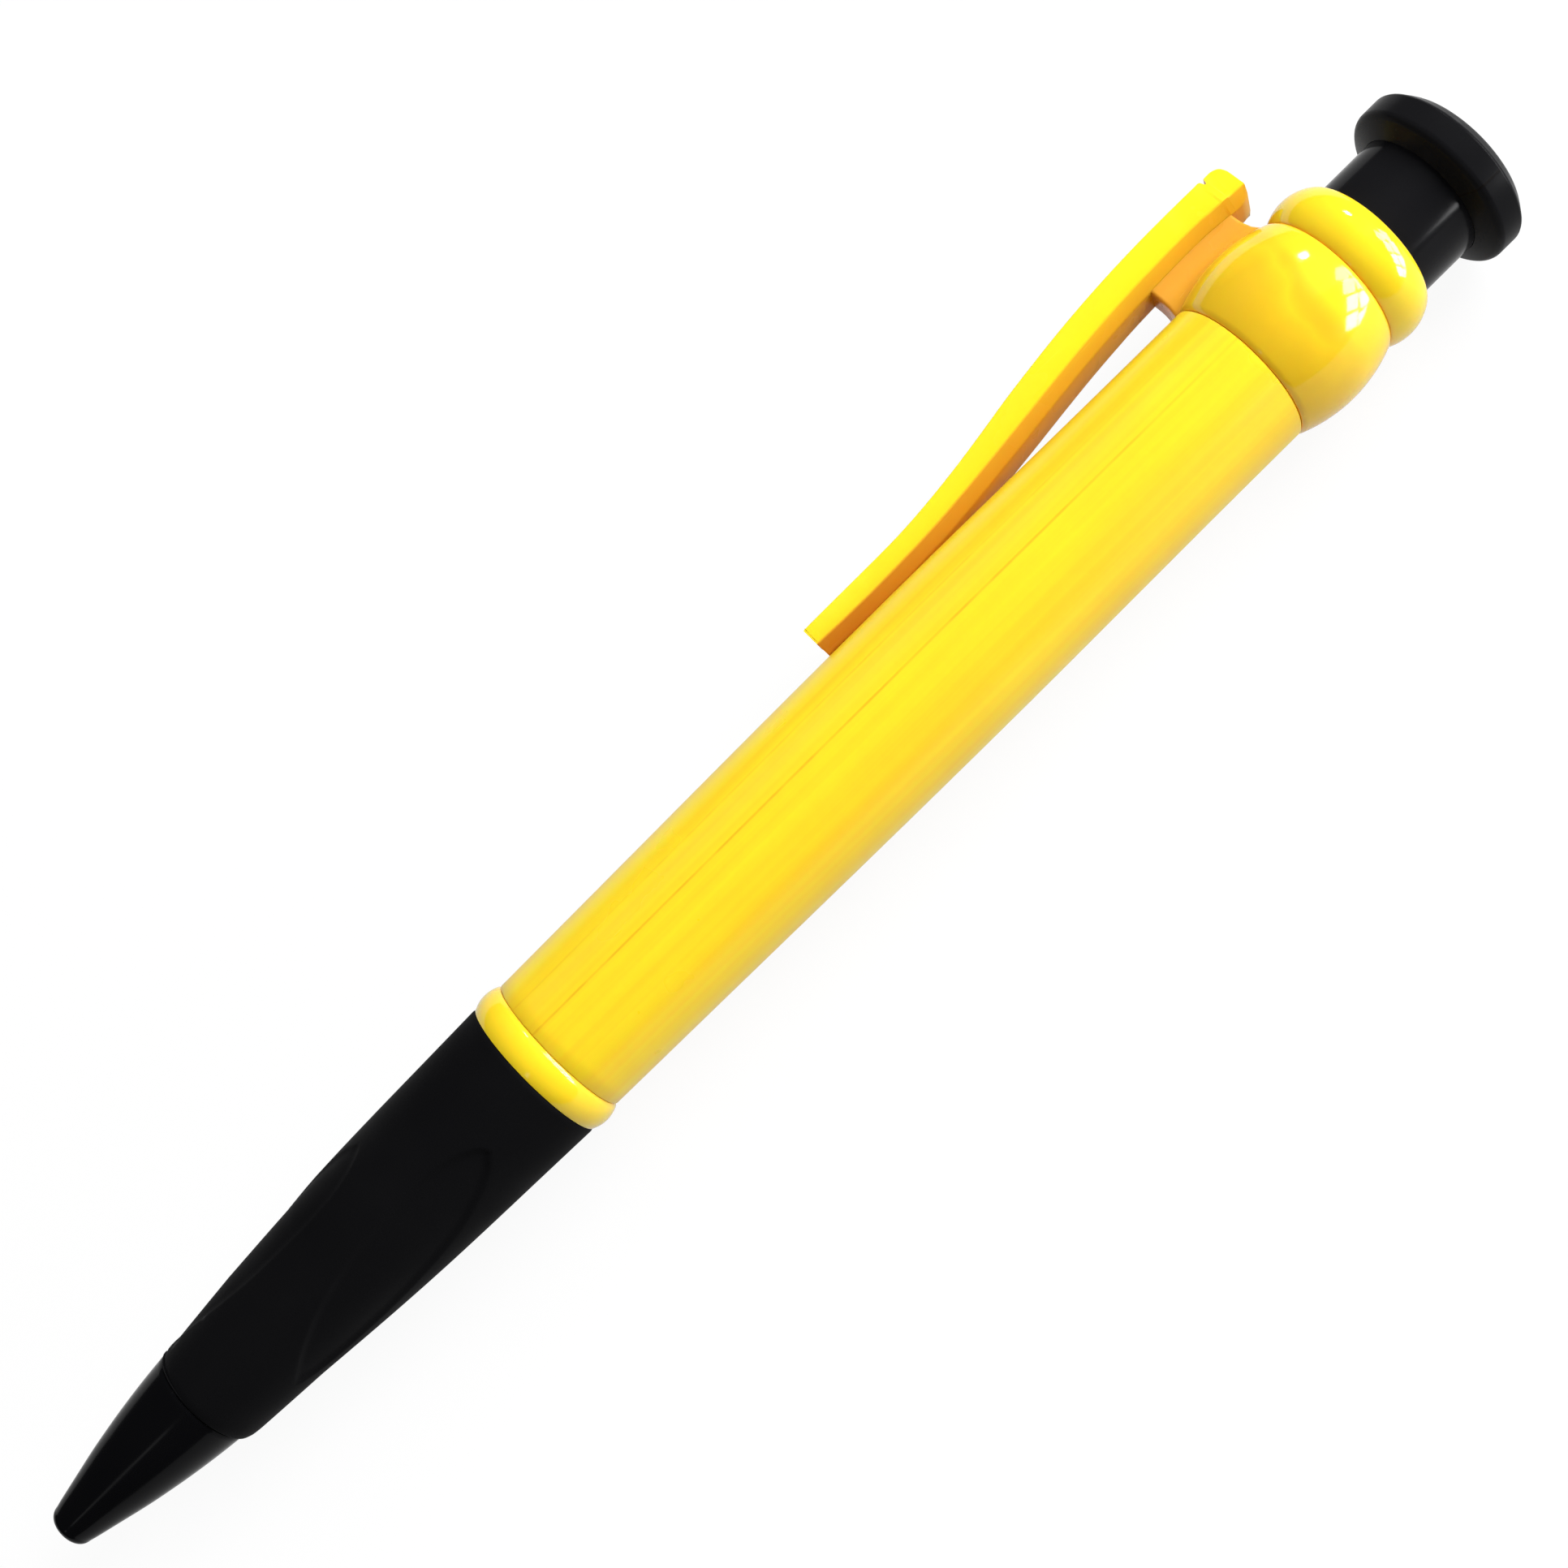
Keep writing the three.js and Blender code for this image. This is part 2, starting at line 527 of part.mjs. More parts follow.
// Flanged dome of the button, hollow underneath, with a boss that holds the plunger
function buttonCap() {
  const socket = STEM_R + 0.05;
  const boss = PLUNGER_R - 0.25;
  const up = (d) => CAP_BOTTOM + d;
  const skin = [
    [up(0), socket], [up(0.85), CAP_R - 1.5], [up(1.2), CAP_R - 0.65], [up(1.6), CAP_R - 0.2],
    [up(2.1), CAP_R], [up(5.3), CAP_R], [up(5.5), CAP_R - 0.15], [up(6.7), CAP_R - 1.45],
    [up(7.2), CAP_R - 2.25], [up(7.9), CAP_R - 4.35], [up(8.4), CAP_R * 0.5], [LENGTH, CAP_R * 0.25],
    [LENGTH, 0],
  ];
  const inner = [
    [up(6.1), 0], [up(6.1), PLUNGER_BORE_R - 0.25], [up(4.9), PLUNGER_BORE_R - 0.25],
    [up(4.9), boss + 0.4],
    [up(-3.3), boss], [up(-3.3), boss + 1.2], [up(1.2), boss + 1.4], [up(4.9), boss + 1.8],
    [up(4.9), STEM_R - 0.75], [up(1.1), socket],
  ];
  return turned([...skin, ...inner]);
}

// Ink tube with its narrow neck
function refillTube() {
  const low = TIP + 11.6;
  const bore = SHANK_R - 0.35;
  return turned([
    [low, bore], [low, SHANK_R], [NECK_BOTTOM - 0.4, SHANK_R], [NECK_BOTTOM, NECK_R],
    [NECK_TOP, NECK_R], [NECK_TOP, REFILL_R - 0.3], [NECK_TOP + 0.5, REFILL_R],
    [REFILL_TOP, REFILL_R], [REFILL_TOP, REFILL_BORE_R], [NECK_TOP + 2, REFILL_BORE_R],
    [NECK_TOP + 1, bore],
  ], SMALL_ROUND);
}

// Brass point: cone, shank and the plug end inside the neck
function refillPoint() {
  const cup = BALL_R + 0.03;
  const plug = SHANK_R - 0.35 - FIT;
  const up = (d) => TIP + d;
  return turned([
    [up(0.3), cup], [up(0.3), BALL_R + 0.22], [up(3.4), SHANK_R - 0.4], [up(4.8), SHANK_R - 0.35],
    [up(5.1), SHANK_R], [up(11.4), SHANK_R], [up(11.4), plug], [up(15.4), plug], [up(15.4), BALL_R * 0.8],
    [up(1.7), BALL_R / 2], [up(1.15), cup],
  ], SMALL_ROUND);
}

// Writing ball at the end of the point
function writingBall() {
  const round = arc(TIP + BALL_R, 0, BALL_R, 155, 25, 5);
  return turned([[TIP, 0], ...round, [TIP + 2 * BALL_R, 0]], 16);
}

// Ink in the tube
function inkColumn() {
  const r = REFILL_BORE_R - FIT;
  const low = NECK_TOP + 2.4;
  const level = REFILL_TOP - INK_SPARE;
  return turned([[low, 0], [low, r - 0.7], [low + 1, r], [level, r], [level, 0]], SMALL_ROUND);
}

// Plug with a vent groove at the tube's upper end
function refillPlug() {
  const r = REFILL_BORE_R - 0.08;
  const low = REFILL_TOP - 7;
  const top = REFILL_TOP + 1.5;
  const body = turned([
    [low, 0], [low, r - 0.2], [low + 1, r], [REFILL_TOP, r], [REFILL_TOP, REFILL_R - 0.05],
    [top, REFILL_R - 0.25], [top, 0],
  ], SMALL_ROUND);
  return body.subtract(block([REFILL_TOP + 0.5, -REFILL_R - 1, -0.45], [top + 0.5, REFILL_R + 1, 0.45]));
}

// Extension rod between rotor and refill: two sockets joined by a cross
function refillRod() {
  const socket = REFILL_R + FIT;
  const low = REFILL_TOP - 11;
  const lowEnd = REFILL_TOP + 4;
  const highEnd = ROD_TOP - 14;
  const bottom = turned([
    [low, socket], [low, ROD_R], [lowEnd, ROD_R], [lowEnd, 0], [lowEnd - 2, 0], [lowEnd - 2, socket],
  ], SMALL_ROUND);
  const top = turned([
    [ROD_TOP, ROD_SOCKET_R], [ROD_TOP, ROD_R], [highEnd, ROD_R], [highEnd, 0], [highEnd + 2.5, 0],
    [highEnd + 2.5, ROD_SOCKET_R],
  ], SMALL_ROUND);
  const rib = block([lowEnd - 0.5, -ROD_R + 0.2, -0.7], [highEnd + 0.5, ROD_R - 0.2, 0.7]);
  return Manifold.union([bottom, top, rib, spun(rib, 90)]);
}

// Guide bush of the refill in the grip core, three spokes between two rings
function refillGuide() {
  const outer = BARREL_BORE_R - FIT - CORE_WALL - FIT;
  const low = BARREL_BOTTOM - 0.8;
  const top = low + 8;
  const bore = ROD_R + SLIDE + FIT;
  const rim = turned([[low, outer - 1.2], [low, outer], [top, outer], [top, outer - 1.2]]);
  const hub = turned([[low - 2, bore], [low - 2, bore + 1.05], [top, bore + 1.05], [top, bore]], 32);
  const spoke = block([low, bore + 0.65, -0.7], [top, outer - 0.6, 0.7]);
  return Manifold.union([rim, hub, ...[90, 210, 330].map((d) => spun(spoke, d))]);
}

// Return spring: one unbroken wire round the refill's neck, its ends closed up
class Coil extends THREE.Curve {
  getPoint(t, target = new THREE.Vector3()) {
    const low = SPRING_SEAT + SPRING_WIRE_R;
    const high = NECK_TOP - GAP - SPRING_WIRE_R;
    const eased = t - 0.045 * Math.sin(2 * Math.PI * t);
    const turn = t * SPRING_TURNS * 2 * Math.PI;
    const a = low + (high - low) * eased;
    return target.set(a, SPRING_R * Math.cos(turn), SPRING_R * Math.sin(turn));
  }
}

// Least gap between neighbouring curls, from points along the middle of the wire
function curlGap() {
  const perCurl = 36;
  const count = SPRING_TURNS * perCurl;
  const points = new Coil().getPoints(count);
  let least = Infinity;
  for (let i = 0; i <= count; i += 1) {
    for (let k = i + perCurl / 2; k <= Math.min(count, i + 2 * perCurl); k += 1) {
      least = Math.min(least, points[i].distanceTo(points[k]) - 2 * SPRING_WIRE_R);
    }
  }
  return least;
}

function returnSpring() {
  const section = new THREE.Shape();
  for (let k = 0; k < 5; k += 1) {
    const t = (k * 2 * Math.PI) / 5;
    const x = SPRING_WIRE_R * Math.cos(t);
    const y = SPRING_WIRE_R * Math.sin(t);
    if (k === 0) section.moveTo(x, y);
    else section.lineTo(x, y);
  }
  section.closePath();
  const wire = new THREE.ExtrudeGeometry(section, { steps: SPRING_TURNS * 8, extrudePath: new Coil() });
  return solid(wire);
}

// Colours and surfaces of the materials
const LOOKS = {
  yellow_satin: { color: 0xffdf14, roughness: 0.38, metalness: 0 },
  yellow_gloss: { color: 0xffdf14, roughness: 0.18, metalness: 0 },
  black_soft: { color: 0x121214, roughness: 0.75, metalness: 0 },
  black_gloss: { color: 0x0c0c0e, roughness: 0.18, metalness: 0 },
  inner_white: { color: 0xe6e6e0, roughness: 0.5, metalness: 0 },
  inner_black: { color: 0x1c1c1e, roughness: 0.5, metalness: 0 },
  tube_clear: { color: 0xdfe3e6, roughness: 0.3, metalness: 0 },
  ink_blue: { color: 0x141c5a, roughness: 0.3, metalness: 0 },
  brass: { color: 0xc8a24a, roughness: 0.3, metalness: 1 },
  steel: { color: 0xb9bcc0, roughness: 0.3, metalness: 1 },
};

const PIECES = [
  ["barrel", barrel, "yellow_satin"],
  ["lower_ring", lowerRing, "yellow_gloss"],
  ["grip_sleeve", gripSleeve, "black_soft"],
  ["grip_core", gripCore, "inner_black"],
  ["nose_cone", noseCone, "black_gloss"],
  ["head_ball", headBall, "yellow_gloss"],
  ["head_collar", headCollar, "yellow_gloss"],
  ["clip", clip, "yellow_gloss"],
  ["cam_sleeve", camSleeve, "inner_white"],
  ["plunger", plunger, "inner_white"],
  ["cam_rotor", camRotor, "inner_white"],
  ["button_stem", buttonStem, "black_gloss"],
  ["button_cap", buttonCap, "black_gloss"],
  ["refill_rod", refillRod, "inner_white"],
  ["refill_tube", refillTube, "tube_clear"],
  ["refill_plug", refillPlug, "inner_white"],
  ["refill_point", refillPoint, "brass"],
  ["writing_ball", writingBall, "steel"],
  ["ink_column", inkColumn, "ink_blue"],
  ["refill_guide", refillGuide, "inner_white"],
  ["return_spring", returnSpring, "steel"],
];

// Shift from the pen's axis to the shared frame: centred in plan, lowest point at height 0
function frameShift() {
  const clipTop = Math.max(...CLIP_OUTER.map(([, u]) => u));
  return [-LENGTH / 2, -(clipTop - WIDEST_R) / 2, WIDEST_R];
}

const pen = new THREE.Group();
pen.name = "giant_ballpoint_pen";
for (const [name, make, look] of PIECES) {
  const geometry = geometryOf(make());
  geometry.translate(...frameShift());
  const piece = new THREE.Mesh(geometry, new THREE.MeshStandardMaterial(LOOKS[look]));
  piece.name = name;
  pen.add(piece);
}

console.log(`return spring: least gap between curls ${curlGap().toFixed(3)} mm`);

export default pen;
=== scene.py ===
import math

import bmesh
import bpy
from mathutils import Matrix, Vector


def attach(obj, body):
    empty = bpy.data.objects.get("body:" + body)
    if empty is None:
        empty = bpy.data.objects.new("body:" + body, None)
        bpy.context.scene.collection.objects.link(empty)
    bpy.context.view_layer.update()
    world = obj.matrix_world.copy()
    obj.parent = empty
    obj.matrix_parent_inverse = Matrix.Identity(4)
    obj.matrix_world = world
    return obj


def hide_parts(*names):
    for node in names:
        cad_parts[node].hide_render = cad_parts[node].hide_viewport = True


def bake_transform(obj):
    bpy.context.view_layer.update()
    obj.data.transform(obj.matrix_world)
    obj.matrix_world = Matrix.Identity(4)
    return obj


# Sizes are in millimetres where nothing else is said. Along the pen, a runs from 0 at the nose end
# to 280 at the top of the button. Radii and angles are about the pen's axis, and angles run from +Y
# towards +Z. On the clip's side, u is the distance from the axis towards +Y. The frame's origin is
# below the pen's middle, and its axis runs at AXIS_Y, AXIS_Z.
MM = 0.001
MIDDLE = 140.0
AXIS_Y, AXIS_Z = -5.16, 14.04

NOSE_TOP, GRIP_TOP, BARREL_BOTTOM, BARREL_TOP = 27.6, 93.9, 98.8, 235.4
HEAD_TOP, COLLAR_TOP, LENGTH = 252.9, 260.9, 280.0
BORE_R, STEM_R = 10.2, 10.35
# The head ball's middle, its widest radius and the radius of its outline's curve
BALL_A, BALL_R, BALL_CURVE_R = 244.2, 14.04, 22.0
# The play between neighbouring pieces, and between the head and its collar
GAP, COLLAR_GAP = 0.05, 0.03

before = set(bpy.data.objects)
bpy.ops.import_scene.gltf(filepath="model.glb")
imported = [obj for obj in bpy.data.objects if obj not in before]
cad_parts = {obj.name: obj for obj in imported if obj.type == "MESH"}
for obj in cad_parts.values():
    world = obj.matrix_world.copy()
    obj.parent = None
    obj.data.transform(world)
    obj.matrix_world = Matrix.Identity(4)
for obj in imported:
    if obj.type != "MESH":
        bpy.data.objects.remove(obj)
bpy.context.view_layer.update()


# Outlines

def kept_in(value):
    """The value kept between 0 and 1."""
    return max(0.0, min(1.0, value))


def height_at(line, a):
    """The height at a of a line of points (a, height); before the first point it is level."""
    for (a0, u0), (a1, u1) in zip(line, line[1:]):
        if a <= a1:
            return u0 + (u1 - u0) * max(0.0, a - a0) / (a1 - a0)
    return line[-1][1]


def along(points, per):
    """The same outline with points added on a smooth curve through its own."""
    out = []
    for i in range(len(points) - 1):
        p0 = points[max(i - 1, 0)]
        p1, p2 = points[i], points[i + 1]
        p3 = points[min(i + 2, len(points) - 1)]
        for k in range(per):
            t = k / per
            out.append(tuple(
                0.5 * (2 * b + (c - a) * t + (2 * a - 5 * b + 4 * c - d) * t * t
                       + (3 * b - a - 3 * c + d) * t ** 3)
                for a, b, c, d in zip(p0, p1, p2, p3)))
    out.append(points[-1])
    return out


def arc(centre, radius, start, end, steps):
    """Points on a circular arc in the plane of a and radius, angles in degrees from +a."""
    turn = [math.radians(start + (end - start) * i / steps) for i in range(steps + 1)]
    return [(centre[0] + radius * math.cos(t), centre[1] + radius * math.sin(t)) for t in turn]


def eased(outline, steps=4):
    """The closed outline with each corner that carries a third number rounded by that radius."""
    out = []
    count = len(outline)
    for i, corner in enumerate(outline):
        if len(corner) < 3:
            out.append(tuple(corner[:2]))
            continue
        here = Vector(corner[:2])
        back = Vector(outline[i - 1][:2]) - here
        ahead = Vector(outline[(i + 1) % count][:2]) - here
        cut = min(corner[2], back.length * 0.49, ahead.length * 0.49)
        p, q = here + back.normalized() * cut, here + ahead.normalized() * cut
        for k in range(steps + 1):
            t = k / steps
            point = p * (1 - t) ** 2 + here * 2 * t * (1 - t) + q * t * t
            out.append((point.x, point.y))
    return out


NOSE_SKIN = [(1.5, 3.42), (2.8, 3.76), (5.1, 4.29), (7.4, 4.82), (9.7, 5.35), (12, 5.84),
             (15, 6.4), (18, 6.91), (21.3, 7.39), (24.4, 7.77), (27.3, 8.06)]
SLEEVE_SKIN = [(28.9, 8.64), (30.6, 8.84), (37, 9.36), (44.5, 9.93), (52, 10.48), (59, 10.92),
               (66, 11.26), (74, 11.52), (84, 11.76), (93.4, 11.99)]
SLEEVE_BORE = [(27.8, 6.8), (30.6, 7.04), (44.5, 8.13), (59, 9.12), (74, 9.72), (GRIP_TOP, 10.2)]
BARREL_SKIN = [(98.98, 11.77), (112, 11.9), (124, 12.02), (142, 12.21), (160, 12.35),
               (181, 12.41), (200, 12.3), (218, 12.18), (235.1, 12.14)]


# Mesh helpers

def finished(name, mesh, sharp):
    """Puts a bmesh drawn about the pen's axis into the frame as a smooth object.

    Edges bent by more than the given angle stay sharp."""
    bmesh.ops.remove_doubles(mesh, verts=mesh.verts, dist=2e-7)
    bmesh.ops.recalc_face_normals(mesh, faces=mesh.faces)
    bmesh.ops.translate(mesh, verts=mesh.verts, vec=(0, AXIS_Y * MM, AXIS_Z * MM))
    data = bpy.data.meshes.new(name)
    mesh.to_mesh(data)
    mesh.free()
    data.shade_smooth()
    data.set_sharp_from_angle(angle=math.radians(sharp))
    piece = bpy.data.objects.new(name, data)
    bpy.context.scene.collection.objects.link(piece)
    return piece


def spun(outline, steps):
    """A bmesh turned about the X axis from an outline of (a, radius).

    It closes the outline, unless that starts and ends on the axis."""
    mesh = bmesh.new()
    rim = [mesh.verts.new(((a - MIDDLE) * MM, 0, r * MM)) for a, r in outline]
    pairs = list(zip(rim, rim[1:]))
    if outline[0][1] > 1e-6 or outline[-1][1] > 1e-6:
        pairs.append((rim[-1], rim[0]))
    edges = [mesh.edges.new(pair) for pair in pairs]
    bmesh.ops.spin(mesh, geom=rim + edges, cent=(0, 0, 0), axis=(1, 0, 0),
                   angle=2 * math.pi, steps=steps, use_merge=True)
    return mesh


def turned(name, outline, steps, sharp=38):
    """A smooth object turned from an outline."""
    return finished(name, spun(outline, steps), sharp)


# Node helpers

MIX_FACTOR, MIX_UNDER, MIX_OVER, MIX_RESULT = 0, 6, 7, 2


def group_of(name, inputs, outputs):
    """An empty shader node group with named sockets, with its input and output nodes."""
    tree = bpy.data.node_groups.new(name, "ShaderNodeTree")
    for label, kind, value in inputs:
        socket = tree.interface.new_socket(label, in_out="INPUT", socket_type=kind)
        if value is not None:
            socket.default_value = value
    for label in outputs:
        tree.interface.new_socket(label, in_out="OUTPUT", socket_type="NodeSocketFloat")
    return tree, tree.nodes.new("NodeGroupInput"), tree.nodes.new("NodeGroupOutput")


def mapped(tree, vector, **settings):
    """The same place moved, turned or stretched."""
    node = tree.nodes.new("ShaderNodeMapping")
    for label, value in settings.items():
        node.inputs[label].default_value = value
    tree.links.new(vector, node.inputs["Vector"])
    return node.outputs["Vector"]


def axes(tree, vector):
    """The coordinates of a place: outputs X, Y and Z."""
    node = tree.nodes.new("ShaderNodeSeparateXYZ")
    tree.links.new(vector, node.inputs[0])
    return node.outputs


def noise(tree, vector, scale, detail):
    """The value of a noise texture at a place."""
    node = tree.nodes.new("ShaderNodeTexNoise")
    node.inputs["Scale"].default_value = scale
    node.inputs["Detail"].default_value = detail
    node.inputs["Roughness"].default_value = 0.55
    tree.links.new(vector, node.inputs["Vector"])
    return node.outputs["Fac"]


def spread(tree, source, low, high, to_low, to_high):
    """A value's range stretched to another one, and held at its ends."""
    node = tree.nodes.new("ShaderNodeMapRange")
    node.inputs["From Min"].default_value = low
    node.inputs["From Max"].default_value = high
    node.inputs["To Min"].default_value = to_low
    node.inputs["To Max"].default_value = to_high
    tree.links.new(source, node.inputs["Value"])
    return node.outputs["Result"]


def sums(tree, operation, first, second=0.0):
    """One step of arithmetic on two values, each a number or a socket."""
    node = tree.nodes.new("ShaderNodeMath")
    node.operation = operation
    for socket, value in zip(node.inputs, (first, second)):
        if isinstance(value, (int, float)):
            socket.default_value = value
        else:
            tree.links.new(value, socket)
    return node.outputs[0]


def product(tree, first, second):
    """Two values multiplied."""
    return sums(tree, "MULTIPLY", first, second)


def mixed(tree, mask, under, over, blend="MIX"):
    """One colour laid over another as far as a mask says; each is three numbers or a socket."""
    node = tree.nodes.new("ShaderNodeMix")
    node.data_type = "RGBA"
    node.blend_type = blend
    tree.links.new(mask, node.inputs[MIX_FACTOR])
    for place, colour in ((MIX_UNDER, under), (MIX_OVER, over)):
        if isinstance(colour, (tuple, list)):
            node.inputs[place].default_value = (*colour, 1)
        else:
            tree.links.new(colour, node.inputs[place])
    return node.outputs[MIX_RESULT]


def relief(tree, height, depth):
    """The normal of a surface with this unevenness."""
    node = tree.nodes.new("ShaderNodeBump")
    node.inputs["Strength"].default_value = 1.0
    node.inputs["Distance"].default_value = depth
    tree.links.new(height, node.inputs["Height"])
    return node.outputs["Normal"]


def blank_material(name):
    """A new material, with its tree, its shader and the place on the object."""
    material = bpy.data.materials.new(name)
    material.use_nodes = True
    tree = material.node_tree
    place = tree.nodes.new("ShaderNodeTexCoord")
    return material, tree, tree.nodes["Principled BSDF"], place.outputs["Object"]


# Effects that several materials share

PLACE = ("Vector", "NodeSocketVector", None)

# Ranges along the pen in metres from its middle: the end of the ball's deeper tone, and that over
# which the painted shade at the clip's nose end fades out
BALL_DARK_RANGE, TIP_SHADE_RANGE = (0.0975, 0.1055), (0.032, 0.09)


def moulded_surface():
    """Unevenness of moulded plastic: slow ripple, fine grain, cloudy gloss, lengthwise streaks."""
    tree, given, out = group_of(
        "moulded surface",
        [PLACE, ("Ripple", "NodeSocketFloat", 0.5), ("Grain", "NodeSocketFloat", 0.5)],
        ["Height", "Clouds", "Streaks"])
    here = given.outputs["Vector"]
    ripple = noise(tree, mapped(tree, here, Scale=(0.18, 1.0, 1.0)), 130.0, 2.0)
    grain = noise(tree, here, 5200.0, 2.0)
    clouds = noise(tree, here, 46.0, 4.0)
    streaks = noise(tree, mapped(tree, here, Scale=(0.012, 1.0, 1.0)), 330.0, 3.0)
    height = sums(tree, "ADD", product(tree, ripple, given.outputs["Ripple"]),
                  product(tree, grain, given.outputs["Grain"]))
    tree.links.new(height, out.inputs["Height"])
    tree.links.new(spread(tree, clouds, 0.35, 0.65, 0, 1), out.inputs["Clouds"])
    tree.links.new(spread(tree, streaks, 0.42, 0.62, 0, 1), out.inputs["Streaks"])
    return tree


def handling_marks():
    """Hairline handling scratches in two directions, and the soft marks that fingers leave."""
    tree, given, out = group_of(
        "handling marks", [PLACE, ("Amount", "NodeSocketFloat", 0.5)], ["Scratches", "Smears"])
    here, amount = given.outputs["Vector"], given.outputs["Amount"]
    hairs = []
    for turn, scale in ((0.35, (30, 900, 900)), (-0.6, (45, 1300, 1300))):
        lay = mapped(tree, here, Rotation=(0.2, turn, turn * 0.7), Scale=scale)
        hairs.append(spread(tree, noise(tree, lay, 1.0, 1.0), 0.70, 0.78, 0, 1))
    smears = spread(tree, noise(tree, here, 75.0, 3.0), 0.45, 0.7, 0, 1)
    tree.links.new(product(tree, sums(tree, "MAXIMUM", *hairs), amount), out.inputs["Scratches"])
    tree.links.new(product(tree, smears, amount), out.inputs["Smears"])
    return tree


def worn_edges():
    """A mask of the convex edges that hands polish, broken up so that it isn't even."""
    tree, given, out = group_of("worn edges", [PLACE], ["Mask"])
    shape = tree.nodes.new("ShaderNodeNewGeometry")
    edge = spread(tree, shape.outputs["Pointiness"], 0.52, 0.62, 0, 1)
    patches = noise(tree, given.outputs["Vector"], 400.0, 3.0)
    broken = spread(tree, patches, 0.35, 0.6, 0.25, 1)
    tree.links.new(product(tree, edge, broken), out.inputs["Mask"])
    return tree


def flow_swirls():
    """Curved flow marks of plastic that streamed round a corner of the mould.

    The tone is also deeper towards the nose end of the ball, fading out over a range along the pen."""
    tree, given, out = group_of("flow swirls", [PLACE], ["Mask"])
    here = given.outputs["Vector"]
    bands = tree.nodes.new("ShaderNodeTexWave")
    for label, value in (("Scale", 24.0), ("Distortion", 9.0), ("Detail", 1.5),
                         ("Detail Scale", 1.6)):
        bands.inputs[label].default_value = value
    tree.links.new(here, bands.inputs["Vector"])
    line = spread(tree, bands.outputs["Fac"], 0.0, 0.4, 1, 0)
    patches = noise(tree, here, 75.0, 2.0)
    where = spread(tree, patches, 0.38, 0.55, 0.2, 1)
    wander = product(tree, sums(tree, "SUBTRACT", patches, 0.5), 0.03)
    # Darker towards the nose end of the ball.
    zone = spread(tree, sums(tree, "ADD", axes(tree, here)["X"], wander), *BALL_DARK_RANGE, 0.85, 0)
    tree.links.new(sums(tree, "MAXIMUM", product(tree, line, where), zone), out.inputs["Mask"])
    return tree


SURFACE, MARKS, EDGES, SWIRLS = moulded_surface(), handling_marks(), worn_edges(), flow_swirls()


def parting_line(tree, here, degrees):
    """A thin moulding line along the tube, at an angle about its axis from +Y towards +Z."""
    at = axes(tree, here)
    angle = sums(tree, "ARCTAN2", at["Z"], at["Y"])
    off = sums(tree, "ABSOLUTE", sums(tree, "SUBTRACT", angle, math.radians(degrees)))
    breaks = spread(tree, noise(tree, here, 170.0, 2.0), 0.40, 0.58, 0.55, 1)
    return product(tree, spread(tree, off, 0.007, 0.02, 1, 0), breaks)


# What streaks, swirls and parting lines multiply a colour by
STREAK_TINT, SWIRL_TINT, SEAM_TINT = (1.0, 0.86, 0.9), (0.85, 0.79, 0.9), (0.87, 0.72, 0.6)
# How far light of each colour spreads inside yellow plastic
AMBER = (1.0, 0.35, 0.05)


